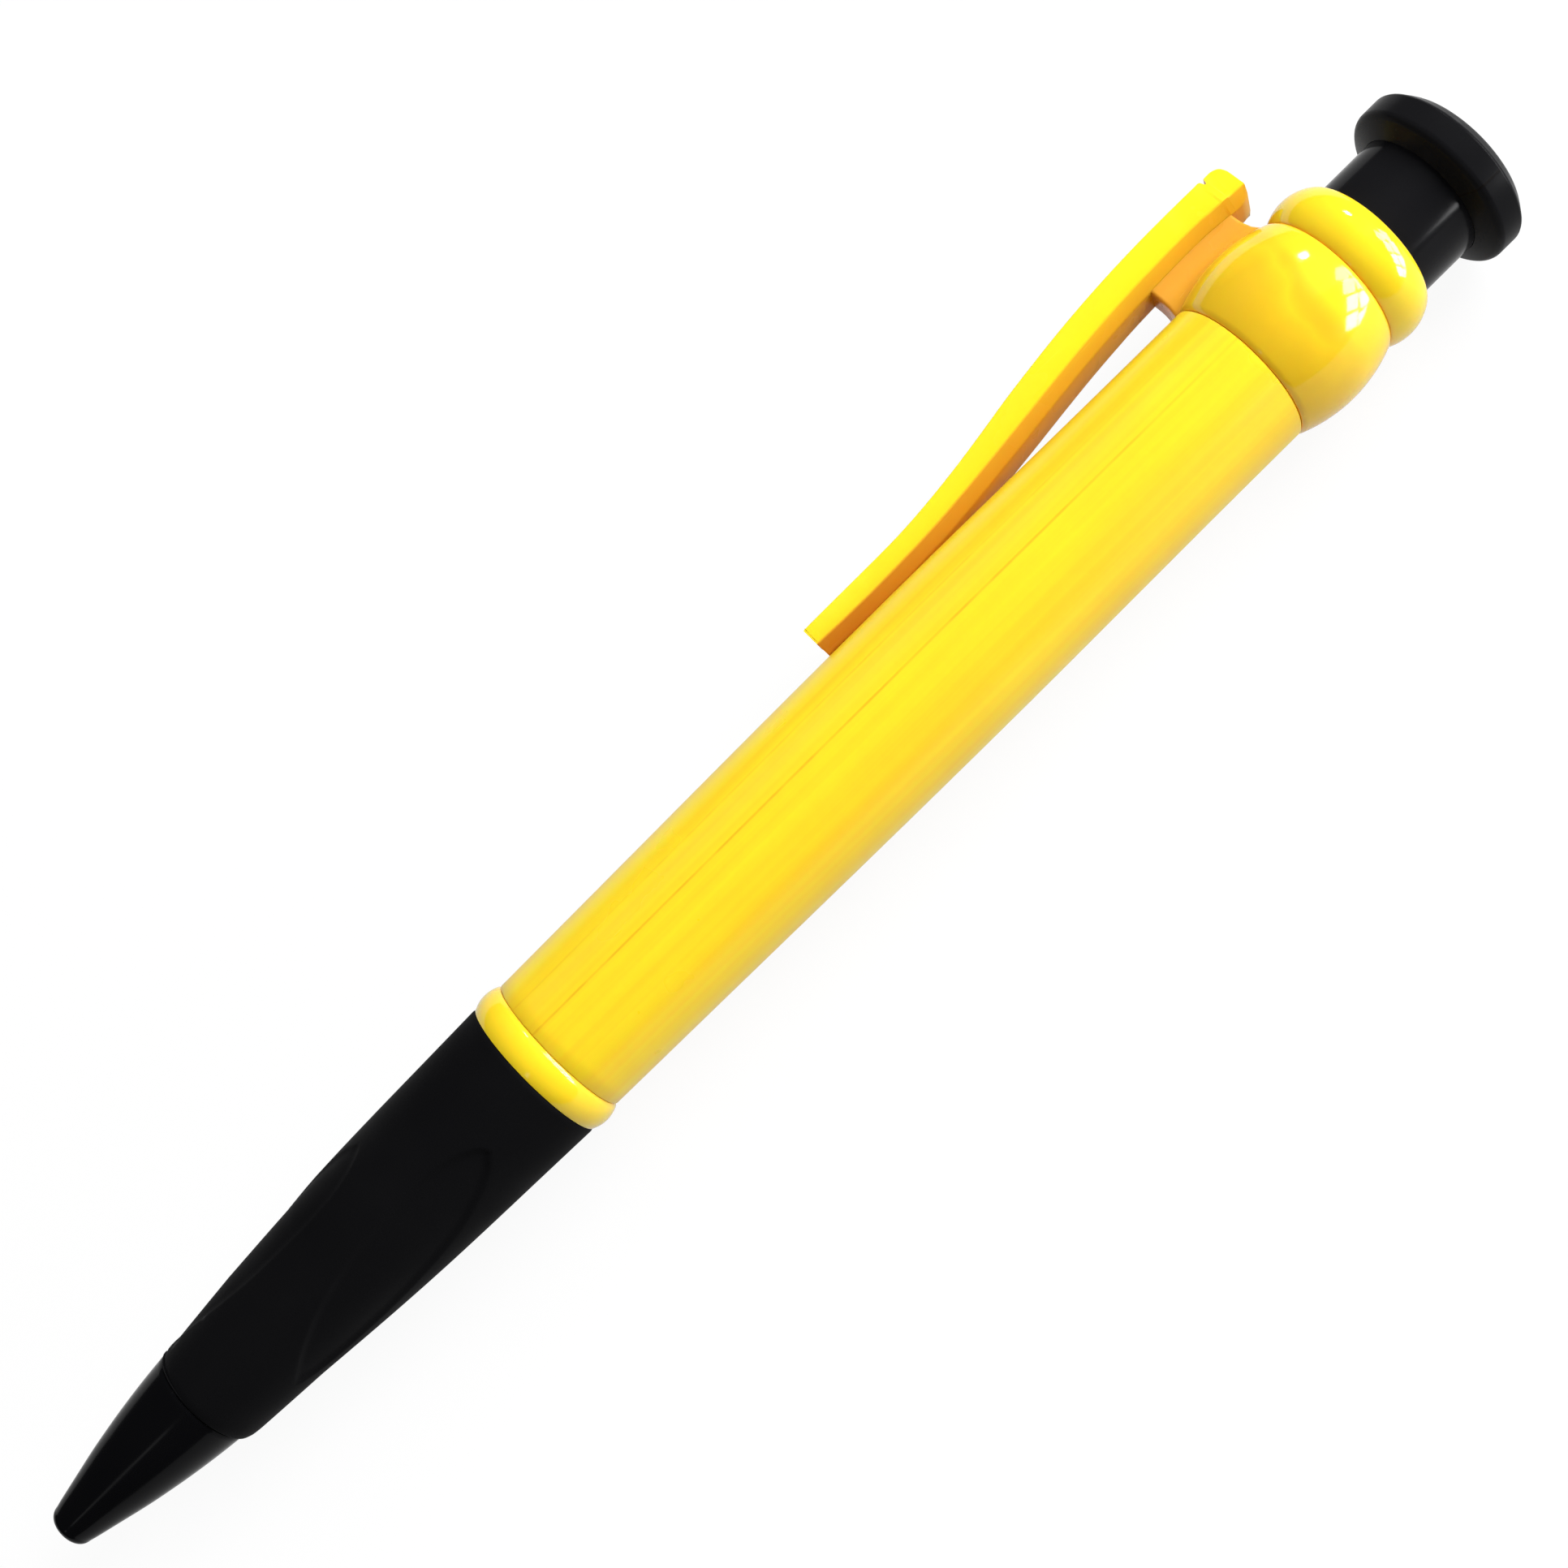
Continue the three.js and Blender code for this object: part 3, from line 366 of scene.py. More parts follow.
def plastic(name, colour, deep, worn, rough, rough_spread, ripple, grain, bump, marks,
            specular=0.5, coat=0.0, soft=0.0, streaks=0.0, swirls=0.0, seams=(), seam_fade=None,
            painted_crevice_shade=None, painted_tip_shade=None):
    """Moulded plastic or rubber: clouds, uneven gloss, grain, handling marks and polished edges.

    A seam is an angle and a strength, and seams fade over a range along the pen, in metres from its
    middle. The crevice shade is painted shade: a deeper colour, and how strongly it is laid on,
    where ambient occlusion finds other surfaces close by, for the shade there and the orange light
    that the plastic's own colour throws back into it. The tip shade is a still deeper painted shade
    for the most hemmed-in places towards the clip's nose end."""
    material, tree, shader, place = blank_material(name)
    here = mapped(tree, place, Location=(0, -AXIS_Y * MM, -AXIS_Z * MM))

    def use(group, **values):
        node = tree.nodes.new("ShaderNodeGroup")
        node.node_tree = group
        tree.links.new(here, node.inputs["Vector"])
        for label, value in values.items():
            node.inputs[label].default_value = value
        return node.outputs

    surface = use(SURFACE, Ripple=ripple, Grain=grain)
    hands = use(MARKS, Amount=marks)
    polished = use(EDGES)["Mask"]
    base = mixed(tree, polished, mixed(tree, surface["Clouds"], colour, deep), worn)
    height = surface["Height"]
    if streaks:
        mask = product(tree, surface["Streaks"], streaks)
        base = mixed(tree, mask, base, STREAK_TINT, "MULTIPLY")
    if swirls:
        mask = product(tree, use(SWIRLS)["Mask"], swirls)
        base = mixed(tree, mask, base, SWIRL_TINT, "MULTIPLY")
    for degrees, strength in seams:
        line = product(tree, parting_line(tree, here, degrees), strength)
        if seam_fade:
            line = product(tree, line, spread(tree, axes(tree, here)["X"], *seam_fade, 1, 0.3))
        base = mixed(tree, line, base, SEAM_TINT, "MULTIPLY")
        height = sums(tree, "SUBTRACT", height, product(tree, line, 0.6))
    # Painted shade: the base turns towards a deeper colour where ambient occlusion finds surfaces
    # close by.
    if painted_crevice_shade:
        shade, strength = painted_crevice_shade
        shade_occlusion = tree.nodes.new("ShaderNodeAmbientOcclusion")
        shade_occlusion.samples = 8
        shade_occlusion.inputs["Distance"].default_value = 12 * MM
        openness = shade_occlusion.outputs["AO"]
        base = mixed(tree, spread(tree, openness, 0.64, 0.965, strength, 0), base, shade)
        # Painted shade, deeper still, in the most hemmed-in places towards the clip's nose end.
        if painted_tip_shade:
            tip_shade_fade = spread(tree, axes(tree, here)["X"], *TIP_SHADE_RANGE, 1, 0)
            deepest_shade = spread(tree, openness, 0.6, 0.88, 1, 0)
            base = mixed(tree, product(tree, deepest_shade, tip_shade_fade), base, painted_tip_shade)
    tree.links.new(base, shader.inputs["Base Color"])

    gloss = spread(tree, surface["Clouds"], 0, 1, rough - rough_spread, rough + rough_spread)
    for operation, mask, amount in (("ADD", hands["Smears"], 0.06),
                                    ("ADD", hands["Scratches"], 0.12),
                                    ("SUBTRACT", polished, rough * 0.3)):
        gloss = sums(tree, operation, gloss, product(tree, mask, amount))
    tree.links.new(gloss, shader.inputs["Roughness"])
    scratched = sums(tree, "SUBTRACT", height, product(tree, hands["Scratches"], 0.15))
    tree.links.new(relief(tree, scratched, bump), shader.inputs["Normal"])
    shader.inputs["Specular IOR Level"].default_value = specular
    shader.inputs["Coat Weight"].default_value = coat
    shader.inputs["Coat Roughness"].default_value = 0.06
    if soft:
        shader.inputs["Subsurface Weight"].default_value = soft
        shader.inputs["Subsurface Radius"].default_value = AMBER
        shader.inputs["Subsurface Scale"].default_value = 2 * MM
    return material


def metal(name, colour, rough):
    """Turned metal with fine rings from the tool."""
    material, tree, shader, place = blank_material(name)
    rings = noise(tree, mapped(tree, place, Scale=(9000, 200, 200)), 1.0, 2.0)
    base = mixed(tree, rings, colour, [0.75 * c for c in colour])
    gloss = spread(tree, rings, 0.3, 0.7, rough * 0.7, rough * 1.4)
    tree.links.new(base, shader.inputs["Base Color"])
    tree.links.new(gloss, shader.inputs["Roughness"])
    tree.links.new(relief(tree, rings, 0.01 * MM), shader.inputs["Normal"])
    shader.inputs["Metallic"].default_value = 1.0
    return material


# Materials

POLISHED = dict(rough=0.09, rough_spread=0.02, ripple=0.7, grain=0.005, bump=0.02 * MM, marks=0.3,
                specular=0.42, soft=0.2)
MOULDED = dict(rough=0.26, rough_spread=0.03, ripple=0.8, grain=0.02, bump=0.02 * MM, marks=0.4,
               soft=0.2)
INNER = dict(rough=0.45, rough_spread=0.05, ripple=0.6, grain=0.1, bump=0.02 * MM, marks=0.3)

# The crevice colours of the yellow plastics below are painted shade, laid in where other surfaces
# hem them in.
barrel_yellow = plastic(
    "satin yellow plastic", colour=(0.97, 0.72, 0.018), deep=(0.95, 0.68, 0.017),
    worn=(1.0, 0.76, 0.03), painted_crevice_shade=((0.95, 0.50, 0.03), 0.5), rough=0.3, rough_spread=0.03,
    ripple=1.0, grain=0.02, bump=0.04 * MM, marks=0.35, soft=0.25, streaks=0.85,
    seams=((96.4, 1.0), (71.7, 0.4)), seam_fade=(0.055, 0.09))
gloss_yellow = plastic(
    "polished yellow plastic", colour=(0.97, 0.70, 0.019), deep=(0.95, 0.66, 0.019),
    worn=(1.0, 0.76, 0.03), painted_crevice_shade=((0.95, 0.46, 0.03), 0.6), coat=0.12, **POLISHED)
ball_yellow = plastic(
    "polished yellow ball plastic", colour=(0.97, 0.655, 0.02), deep=(0.94, 0.615, 0.02),
    worn=(1.0, 0.74, 0.03), painted_crevice_shade=((0.95, 0.46, 0.03), 0.6), swirls=1.0, **POLISHED)
# The clip's tip colour is painted shade on its inner faces near the nose end.
clip_yellow = plastic(
    "moulded yellow clip plastic", colour=(0.98, 0.78, 0.016), deep=(0.96, 0.74, 0.016),
    worn=(1.0, 0.82, 0.03), painted_crevice_shade=((0.88, 0.49, 0.03), 1.0), painted_tip_shade=(0.62, 0.24, 0.02),
    specular=0.12, **MOULDED)
# The web's plastic is the clip's yellow painted a deeper orange: painted shade for the clip bar's
# shadow over the web.
web_painted_shade = plastic(
    "yellow web plastic with painted shade", colour=(0.85, 0.41, 0.03), deep=(0.81, 0.385, 0.03),
    worn=(0.92, 0.5, 0.03), painted_crevice_shade=((0.70, 0.32, 0.035), 1.0), specular=0.3, **MOULDED)
soft_black = plastic(
    "soft black rubber", colour=(0.0050, 0.0050, 0.0055), deep=(0.0040, 0.0040, 0.0045),
    worn=(0.009, 0.009, 0.010), rough=0.6, rough_spread=0.06, ripple=0.4, grain=0.5,
    bump=0.03 * MM, marks=0.5, specular=0.03)
gloss_black = plastic(
    "polished black plastic", colour=(0.0030, 0.0030, 0.0035), deep=(0.0025, 0.0025, 0.0030),
    worn=(0.007, 0.007, 0.008), rough=0.13, rough_spread=0.03, ripple=0.8, grain=0.01,
    bump=0.02 * MM, marks=0.5, specular=0.07)
stem_black = plastic(
    "polished black stem plastic", colour=(0.0080, 0.0080, 0.0090),
    deep=(0.0066, 0.0066, 0.0076), worn=(0.012, 0.012, 0.013), rough=0.14, rough_spread=0.02,
    ripple=0.9, grain=0.03, bump=0.02 * MM, marks=0.25, specular=0.06)
cap_black = plastic(
    "satin black cap plastic", colour=(0.0079, 0.0079, 0.0088), deep=(0.0066, 0.0066, 0.0075),
    worn=(0.016, 0.016, 0.017), rough=0.28, rough_spread=0.04, ripple=0.9, grain=0.03,
    bump=0.02 * MM, marks=0.5, specular=0.03, seams=((135.7, 1.0),))
inner_white = plastic(
    "natural white plastic", colour=(0.72, 0.71, 0.66), deep=(0.66, 0.65, 0.6),
    worn=(0.8, 0.79, 0.75), **INNER)
inner_black = plastic(
    "plain black plastic", colour=(0.012, 0.012, 0.013), deep=(0.010, 0.010, 0.011),
    worn=(0.02, 0.02, 0.02), **INNER)
tube_plastic = plastic(
    "cloudy tube plastic", colour=(0.6, 0.64, 0.68), deep=(0.55, 0.59, 0.63),
    worn=(0.7, 0.72, 0.75), rough=0.25, rough_spread=0.04, ripple=0.6, grain=0.02,
    bump=0.01 * MM, marks=0.3)
ink_blue = plastic(
    "thick blue ink", colour=(0.004, 0.006, 0.06), deep=(0.003, 0.004, 0.05),
    worn=(0.01, 0.012, 0.09), rough=0.2, rough_spread=0.03, ripple=0.5, grain=0.0,
    bump=0.01 * MM, marks=0.0)
brass = metal("turned brass", (0.72, 0.5, 0.2), 0.28)
steel = metal("bright steel", (0.62, 0.63, 0.65), 0.22)


# Pieces

def finish_piece(piece, material, body, *nodes):
    """Gives a piece its material and tells the frame what it rides on and stands for."""
    piece.data.materials.append(material)
    if body:
        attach(piece, body)
    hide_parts(*nodes)
    return piece


def barrel():
    outline = [(BARREL_BOTTOM, 11.65, 0.04)] + along(BARREL_SKIN, 4)
    outline += [(BARREL_TOP, 11.85, 0.1), (BARREL_TOP, BORE_R, 0.15), (BARREL_BOTTOM, BORE_R, 0.15)]
    return turned("barrel_tube", eased(outline), 160)


def lower_ring():
    low, high = GRIP_TOP + GAP, BARREL_BOTTOM - GAP
    outline = [(low, BORE_R, 0.1), (low, 11.95, 0.1)] + arc((96.2, 7.8), 4.7, 116, 64, 24)
    outline += [(high, 11.6, 0.1), (high, BORE_R, 0.1)]
    return turned("bead_ring", eased(outline), 160)


def nose_cone():
    outline = [(0.2, 1.75)] + arc((1.55, 1.9), 1.52, 180, 92, 10) + along(NOSE_SKIN, 4)
    outline += [(NOSE_TOP, 7.95, 0.1), (NOSE_TOP, 6.3), (21.2, 6.3), (21.2, 5.2), (13, 3.7),
                (8.7, 3.3), (8.7, 1.75)]
    return turned("nose_cone_skin", eased(outline), 128)


# Thumb recesses in the grip: the angle of the slanting edge about the axis, the blunt end, the side
# of the slanting edge on which the straight one lies, and the depth
RECESSES = ((113.0, 83.4, 1, 0.5), (75.0, 69.9, -1, 0.25), (242.0, 83.4, 1, 0.5))
RECESS_LEN, RECESS_W, RECESS_WALL = 43.5, 12.4, 1.3
# A recess's rim as shares of its length and width
RECESS_EDGE = [(0.0, 0.35), (0.02, 0.4), (0.045, 0.49), (0.1, 0.6), (0.165, 0.7), (0.25, 0.81),
               (0.35, 0.89), (0.47, 0.955), (0.6, 1.0), (0.75, 1.0), (0.86, 0.97), (0.94, 0.91),
               (1.0, 0.78), (0.955, 0.6), (0.88, 0.43), (0.79, 0.28), (0.69, 0.165), (0.58, 0.08),
               (0.46, 0.03), (0.33, 0.0), (0.23, 0.0), (0.15, 0.025), (0.09, 0.075),
               (0.045, 0.145), (0.01, 0.23), (0.0, 0.31)]
RECESS_LINE = [(t * RECESS_LEN, k * RECESS_W) for t, k in along(RECESS_EDGE, 3)]

# The sleeve's nose end is moulded off centre: how far, where that has faded out, over which length,
# towards which angle, and the skin's least radius there
LIP_OUT, LIP_END, LIP_FADE, LIP_ANGLE, LIP_R = 0.32, 42, 12, 204.5, 8.3
# Distance between the sleeve's rings of points
SLEEVE_STEP = 0.33


def inside_by(x, y, outline):
    """How far a point lies inside a closed outline; 0 outside it."""
    least, crossings = math.inf, 0
    for (x0, y0), (x1, y1) in zip(outline, outline[1:] + outline[:1]):
        if (y0 > y) != (y1 > y) and x < x0 + (y - y0) * (x1 - x0) / (y1 - y0):
            crossings += 1
        dx, dy = x1 - x0, y1 - y0
        k = kept_in(((x - x0) * dx + (y - y0) * dy) / (dx * dx + dy * dy + 1e-12))
        least = min(least, math.hypot(x - x0 - k * dx, y - y0 - k * dy))
    return least if crossings % 2 else 0.0


def recess_depth(a, around, radius):
    """How far the sleeve's skin is sunk at a place: crisp rim, sloping wall, flat floor."""
    for angle, blunt, side, depth in RECESSES:
        back = blunt - a
        over = side * ((around - angle + 180) % 360 - 180) * math.pi / 180 * radius
        if 0 < back < RECESS_LEN and 0 < over < RECESS_W:
            k = min(1.0, inside_by(back, over, RECESS_LINE) / RECESS_WALL)
            return depth * (1 - (1 - k) ** 2)
    return 0.0


def lip_offset(a, around):
    """How far the sleeve's nose end stands out on the side away from the clip, fading upwards."""
    return LIP_OUT * kept_in((LIP_END - a) / LIP_FADE) * math.cos(math.radians(around - LIP_ANGLE))


def grip_sleeve():
    skin = along(SLEEVE_SKIN, 3)
    dense = []
    for (a0, r0), (a1, r1) in zip(skin, skin[1:]):
        steps = max(1, round((a1 - a0) / SLEEVE_STEP))
        dense += [(a0 + (a1 - a0) * k / steps, r0 + (r1 - r0) * k / steps) for k in range(steps)]
    dense.append(skin[-1])
    outline = [(27.72, 8.1, 0.1), (28.05, 8.36, 0.15)] + dense + [(GRIP_TOP, 11.85, 0.1)]
    mesh = spun(eased(outline + SLEEVE_BORE[::-1], 3), 256)
    for vert in mesh.verts:
        a = vert.co.x / MM + MIDDLE
        radius = math.hypot(vert.co.y, vert.co.z) / MM
        if radius < height_at(SLEEVE_BORE, a) + 1:
            continue
        around = math.degrees(math.atan2(vert.co.z, vert.co.y))
        down = recess_depth(a, around, radius) - (lip_offset(a, around) if radius > LIP_R else 0.0)
        vert.co.y *= (radius - down) / radius
        vert.co.z *= (radius - down) / radius
    return finished("soft_grip", mesh, 50)


def head_ball():
    """The ball with the spigot that plugs it into the barrel."""
    low, high = BARREL_TOP + GAP, HEAD_TOP - GAP
    skin = arc((BALL_A, BALL_R - BALL_CURVE_R), BALL_CURVE_R, 113.3, 67.2, 40)[1:-1]
    outline = [(223, 9.5), (224, 10.1), (low, 10.1), (low, 12.0, 0.1)] + skin
    outline += [(high, 12.1, 0.15), (high, 11.0), (238, 11.0), (238, 8.7), (223, 8.7)]
    return turned("ball_head", eased(outline), 192)


def head_collar():
    low = HEAD_TOP + COLLAR_GAP
    outline = [(low, 10.45, 0.2), (low, 12.05, 0.15)] + arc((256.55, 6.8), 6.4, 122, 56, 28)
    outline += [(260.55, 11.75, 0.3), (COLLAR_TOP, 11.1, 0.3), (COLLAR_TOP, 10.45, 0.2)]
    return turned("rounded_collar", eased(outline), 192)


# The clip's outer face in three runs, along its bar, through its notch and round its head end, and
# its inner face
CLIP_OUTER = along([(165.75, 17.4), (166.6, 17.6), (180.6, 17.65), (186.5, 17.85), (192.4, 18.4),
                    (198.3, 19.2), (204.2, 20.2), (210.2, 21.3), (216.2, 22.2), (222.2, 23.0),
                    (228.1, 23.6), (234.1, 24.03), (240, 24.27), (246, 24.34), (251.8, 24.3)], 3)
CLIP_OUTER += [(252.4, 24.1), (252.55, 23.7), (252.7, 23.25), (252.95, 23.25), (253.1, 23.7),
               (253.25, 24.2)]
CLIP_OUTER += along([(254.4, 24.22), (255.0, 24.1), (255.6, 23.8), (256.0, 23.35),
                     (256.25, 22.6)], 2)
CLIP_INNER = along([(165.6, 14.35), (174.6, 14.1), (186.3, 14.4), (192.1, 14.82), (198, 15.44),
                    (203.9, 16.15), (209.8, 16.9), (215.8, 17.7), (221.7, 18.42), (227.6, 18.98),
                    (233.6, 19.4), (245.4, 19.7), (251.2, 19.35), (256.2, 18.85)], 4)
# Where the notch keeps its edges sharp
CLIP_NOTCH = (251.7, 253.9)
# Half the bar's width, half that of its inner face, and how far its sloped sides reach inwards
CLIP_HALF, CLIP_NARROW, CLIP_SLOPE = 4.45, 2.25, 1.4
# The share of that slope lost in the rounded inner corner of the head end, its start and its length
CORNER_SHARE, CORNER_A, CORNER_LEN = 0.75, 253.6, 2.65
# How far the nose end is cut askew for each millimetre across, and the length over which that fades
ASKEW, ASKEW_LEN = 0.075, 4
# The height at which the web's foot starts to follow the ball, and how fast it does so
FOOT_TOP, FOOT_EASE = 15.8, 1.6


def rounded_ring(long_half, wide_half, radius=0.6, steps=5, cuts=(14, 5)):
    """A rectangle with rounded corners, its long and short sides cut into that many parts."""
    corners = [(x * long_half, z * wide_half, radius)
               for x, z in ((-1, -1), (1, -1), (1, 1), (-1, 1))]
    outline = eased(corners, steps)
    out = []
    for i, ((x0, y0), (x1, y1)) in enumerate(zip(outline, outline[1:] + outline[:1])):
        side, place = divmod(i, steps + 1)
        parts = cuts[side % 2] if place == steps else 1
        out += [(x0 + (x1 - x0) * k / parts, y0 + (y1 - y0) * k / parts) for k in range(parts)]
    return out


def lofted(mesh, rings):
    """Closed rings of vertices joined one to the next, with both ends filled."""
    for lower, upper in zip(rings, rings[1:]):
        for i in range(len(lower)):
            k = (i + 1) % len(lower)
            mesh.faces.new((lower[i], lower[k], upper[k], upper[i]))
    mesh.faces.new(rings[0])
    mesh.faces.new(rings[-1])


def clip_web():
    """The block under the clip's head end: rounded corners, and a foot flared out onto the ball."""
    rows = [(18.9, 8.2, 2.25), (16.6, 8.2, 2.25), (15.7, 8.25, 2.35), (15.0, 8.45, 2.65),
            (14.5, 8.85, 3.2), (14.15, 9.3, 3.9), (13.9, 9.7, 4.7), (13.6, 9.7, 4.8)]
    web = bmesh.new()
    rings = []
    for u, long_half, wide_half in rows:
        ease = kept_in((FOOT_TOP - u) / FOOT_EASE)
        ring = []
        for x, z in rounded_ring(long_half, wide_half):
            drop = (BALL_CURVE_R - math.sqrt(BALL_CURVE_R ** 2 - x * x)
                    + BALL_R - math.sqrt(BALL_R ** 2 - z * z))
            ring.append(web.verts.new(((BALL_A + x - MIDDLE) * MM, (u - drop * ease) * MM, z * MM)))
        rings.append(ring)
    lofted(web, rings)
    # The web's faces take the second material, the clip's yellow with painted shade.
    for face in web.faces:
        face.material_index = 1
    return web


def clip():
    """The clip bar lofted ring by ring, its inner edges sloped, with the web under its head end."""
    stations = sorted({round(a, 2) for a, _ in CLIP_OUTER})
    first, last = stations[0], stations[-1]
    mesh = bmesh.new()

    def section(a):
        """The corners of the bar at a, across and outwards."""
        top, low = height_at(CLIP_OUTER, a), height_at(CLIP_INNER, a)
        lost = CORNER_SHARE * max(0.0, (a - CORNER_A) / CORNER_LEN) ** 2
        sunk = low - CLIP_SLOPE * (1 - lost)
        return [(-CLIP_HALF, top), (-CLIP_HALF, low), (-CLIP_NARROW, sunk), (CLIP_NARROW, sunk),
                (CLIP_HALF, low), (CLIP_HALF, top)]

    def spot(a, z, u):
        """A corner's place, with the nose end cut askew."""
        a += ASKEW * (CLIP_HALF - z) * max(0.0, 1 - (a - first) / ASKEW_LEN)
        return (a - MIDDLE) * MM, u * MM, z * MM

    lofted(mesh, [[mesh.verts.new(spot(a, z, u)) for z, u in section(a)] for a in stations])
    bmesh.ops.recalc_face_normals(mesh, faces=mesh.faces)
    kept_sharp = (CLIP_NOTCH, (0, first + 0.8), (last - 0.05, LENGTH))

    def in_sharp_part(edge):
        at = [v.co.x / MM + MIDDLE for v in edge.verts]
        return any(low < min(at) and max(at) < high for low, high in kept_sharp)

    crisp = [e for e in mesh.edges
             if e.calc_face_angle() > math.radians(25) and not in_sharp_part(e)]
    bmesh.ops.bevel(mesh, geom=crisp, offset=0.28 * MM, segments=3, affect="EDGES", profile=0.5,
                    material=-1)
    web = clip_web()
    joined = bpy.data.meshes.new("web")
    web.to_mesh(joined)
    web.free()
    mesh.from_mesh(joined)
    bpy.data.meshes.remove(joined)
    return finished("pocket_clip", mesh, 32)


def button_stem():
    outline = [(249.7, 6.05), (249.7, 10.9), (HEAD_TOP, 10.9), (HEAD_TOP, STEM_R),
               (272.3, STEM_R, 0.1), (272.3, 8.9), (252.4, 8.9), (252.4, 6.05)]
    return turned("push_stem", eased(outline), 160)


def button_cap():
    dome = along([(276.9, 13.78), (277.4, 13.2), (278.0, 12.5), (278.5, 11.7), (279.2, 9.6),
                  (279.7, 7.0), (279.94, 3.6)], 3)
    outline = [(271.35, STEM_R + GAP), (272.15, 12.45), (272.5, 13.3, 0.2), (272.9, 13.75, 0.2),
               (273.4, 13.95, 0.2), (276.6, 13.95, 0.12)] + dome
    outline += [(LENGTH, 3.4), (LENGTH, 0.0), (277.4, 0.0), (277.4, 3.65), (276.2, 3.65),
                (276.2, 6.0), (268, 5.6), (268, 6.8), (272.5, 7.0), (276.2, 7.4), (276.2, 9.6),
                (272.4, STEM_R + GAP)]
    return turned("push_button", eased(outline), 192, 24)


def refill_point():
    outline = [(2.9, 0.53), (2.9, 0.7), (3.2, 0.78), (6.0, 1.2), (7.4, 1.25), (7.7, 1.6), (14, 1.6),
               (14, 1.15), (18, 1.15), (18, 0.4), (4.3, 0.25), (3.75, 0.53)]
    return turned("brass_point", outline, 64)


def writing_ball():
    outline = [(2.6, 0.0)] + arc((3.1, 0.0), 0.5, 172, 8, 16) + [(3.6, 0.0)]
    return turned("ball_tip", outline, 32, 80)


# Middle of the spring's wire at its two ends, its turns, and the radii of the coil and of the wire
SPRING_ENDS = (9.32, 31.34)
TURNS, COIL_R, WIRE_R = 11, 2.55, 0.3
# How much closer together the end turns lie than those between
END_TURNS = 0.045


def return_spring():
    """One wire wound round the refill's neck, its end turns closer together than the others."""
    low, high = SPRING_ENDS
    per_turn, around = 40, 10
    mesh = bmesh.new()

    def middle(t):
        turn = t * TURNS * 2 * math.pi
        a = low + (high - low) * (t - END_TURNS * math.sin(2 * math.pi * t))
        return Vector((a - MIDDLE, COIL_R * math.cos(turn), COIL_R * math.sin(turn)))

    rings = []
    for i in range(TURNS * per_turn + 1):
        t = i / (TURNS * per_turn)
        here = middle(t)
        ahead = (middle(t + 1e-4) - middle(t - 1e-4)).normalized()
        outwards = Vector((0, here.y, here.z)).normalized()
        across = ahead.cross(outwards)
        rings.append([])
        for k in range(around):
            angle = 2 * math.pi * k / around
            side = outwards * math.cos(angle) + across * math.sin(angle)
            rings[-1].append(mesh.verts.new((here + side * WIRE_R) * MM))
    lofted(mesh, rings)
    return finished("coil_spring", mesh, 50)


finish_piece(barrel(), barrel_yellow, "pen_body", "barrel")
finish_piece(lower_ring(), gloss_yellow, "pen_body", "lower_ring")
finish_piece(nose_cone(), gloss_black, "pen_body", "nose_cone")
finish_piece(grip_sleeve(), soft_black, "pen_body", "grip_sleeve")
finish_piece(head_ball(), ball_yellow, "pen_body", "head_ball")
finish_piece(head_collar(), gloss_yellow, "pen_body", "head_collar")
finish_piece(button_stem(), stem_black, "button", "button_stem")
finish_piece(button_cap(), cap_black, "button", "button_cap")
finish_piece(refill_point(), brass, "refill", "refill_point")
finish_piece(writing_ball(), steel, "refill", "writing_ball")
# The clip bends between its web, which stays on the ball, and its free part.
clip_piece = finish_piece(clip(), clip_yellow, None, "clip")
# The second material is the web's painted shade.
clip_piece.data.materials.append(web_painted_shade)
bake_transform(clip_piece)

# The spring is squeezed between the nose cone and the refill.
spring_piece = finish_piece(return_spring(), steel, None, "return_spring")
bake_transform(spring_piece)

# CAD nodes that no piece stands for, seen only where the pen is opened or cut
INSIDE = {"grip_core": inner_black, "cam_sleeve": inner_white, "plunger": inner_white,
          "cam_rotor": inner_white, "refill_rod": inner_white, "refill_tube": tube_plastic,
          "refill_plug": inner_white, "ink_column": ink_blue, "refill_guide": inner_white}
for node, material in INSIDE.items():
    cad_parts[node].data.materials.clear()
    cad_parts[node].data.materials.append(material)


# Studio

# The photograph's camera: its roll and tilt, its distance from the pen, the place that it looks at,
# along and across the pen, and its focal length and width in pixels
ROLL, TILT, DISTANCE = math.radians(44.62), math.radians(24.5), 303.9
AIM_A, AIM_ACROSS = 147.8, 3.93
FOCUS, WIDTH = 2620, 1932
SENSOR = 36.0

ALONG = Vector((1, 0, 0))
ACROSS = Vector((0, math.cos(TILT), math.sin(TILT)))
TOWARDS = Vector((0, -math.sin(TILT), math.cos(TILT)))
AIM = Vector(((AIM_A - MIDDLE) * MM, AXIS_Y * MM, AXIS_Z * MM)) + ACROSS * AIM_ACROSS * MM

# The white room's strength in every ray but the camera's, and what matt surfaces get on top
ROOM, ROOM_MATT = 0.05, 0.13
# The glow of the paper seen by the camera, near the pen and far from it, and that in reflections
PAPER_NEAR, PAPER_FAR, PAPER_MIRRORED = 0.93, 1, 0.6
# The distances from the pen's middle over which the first turns into the second, in metres
PAPER_FADE = (0.35, 0.9)

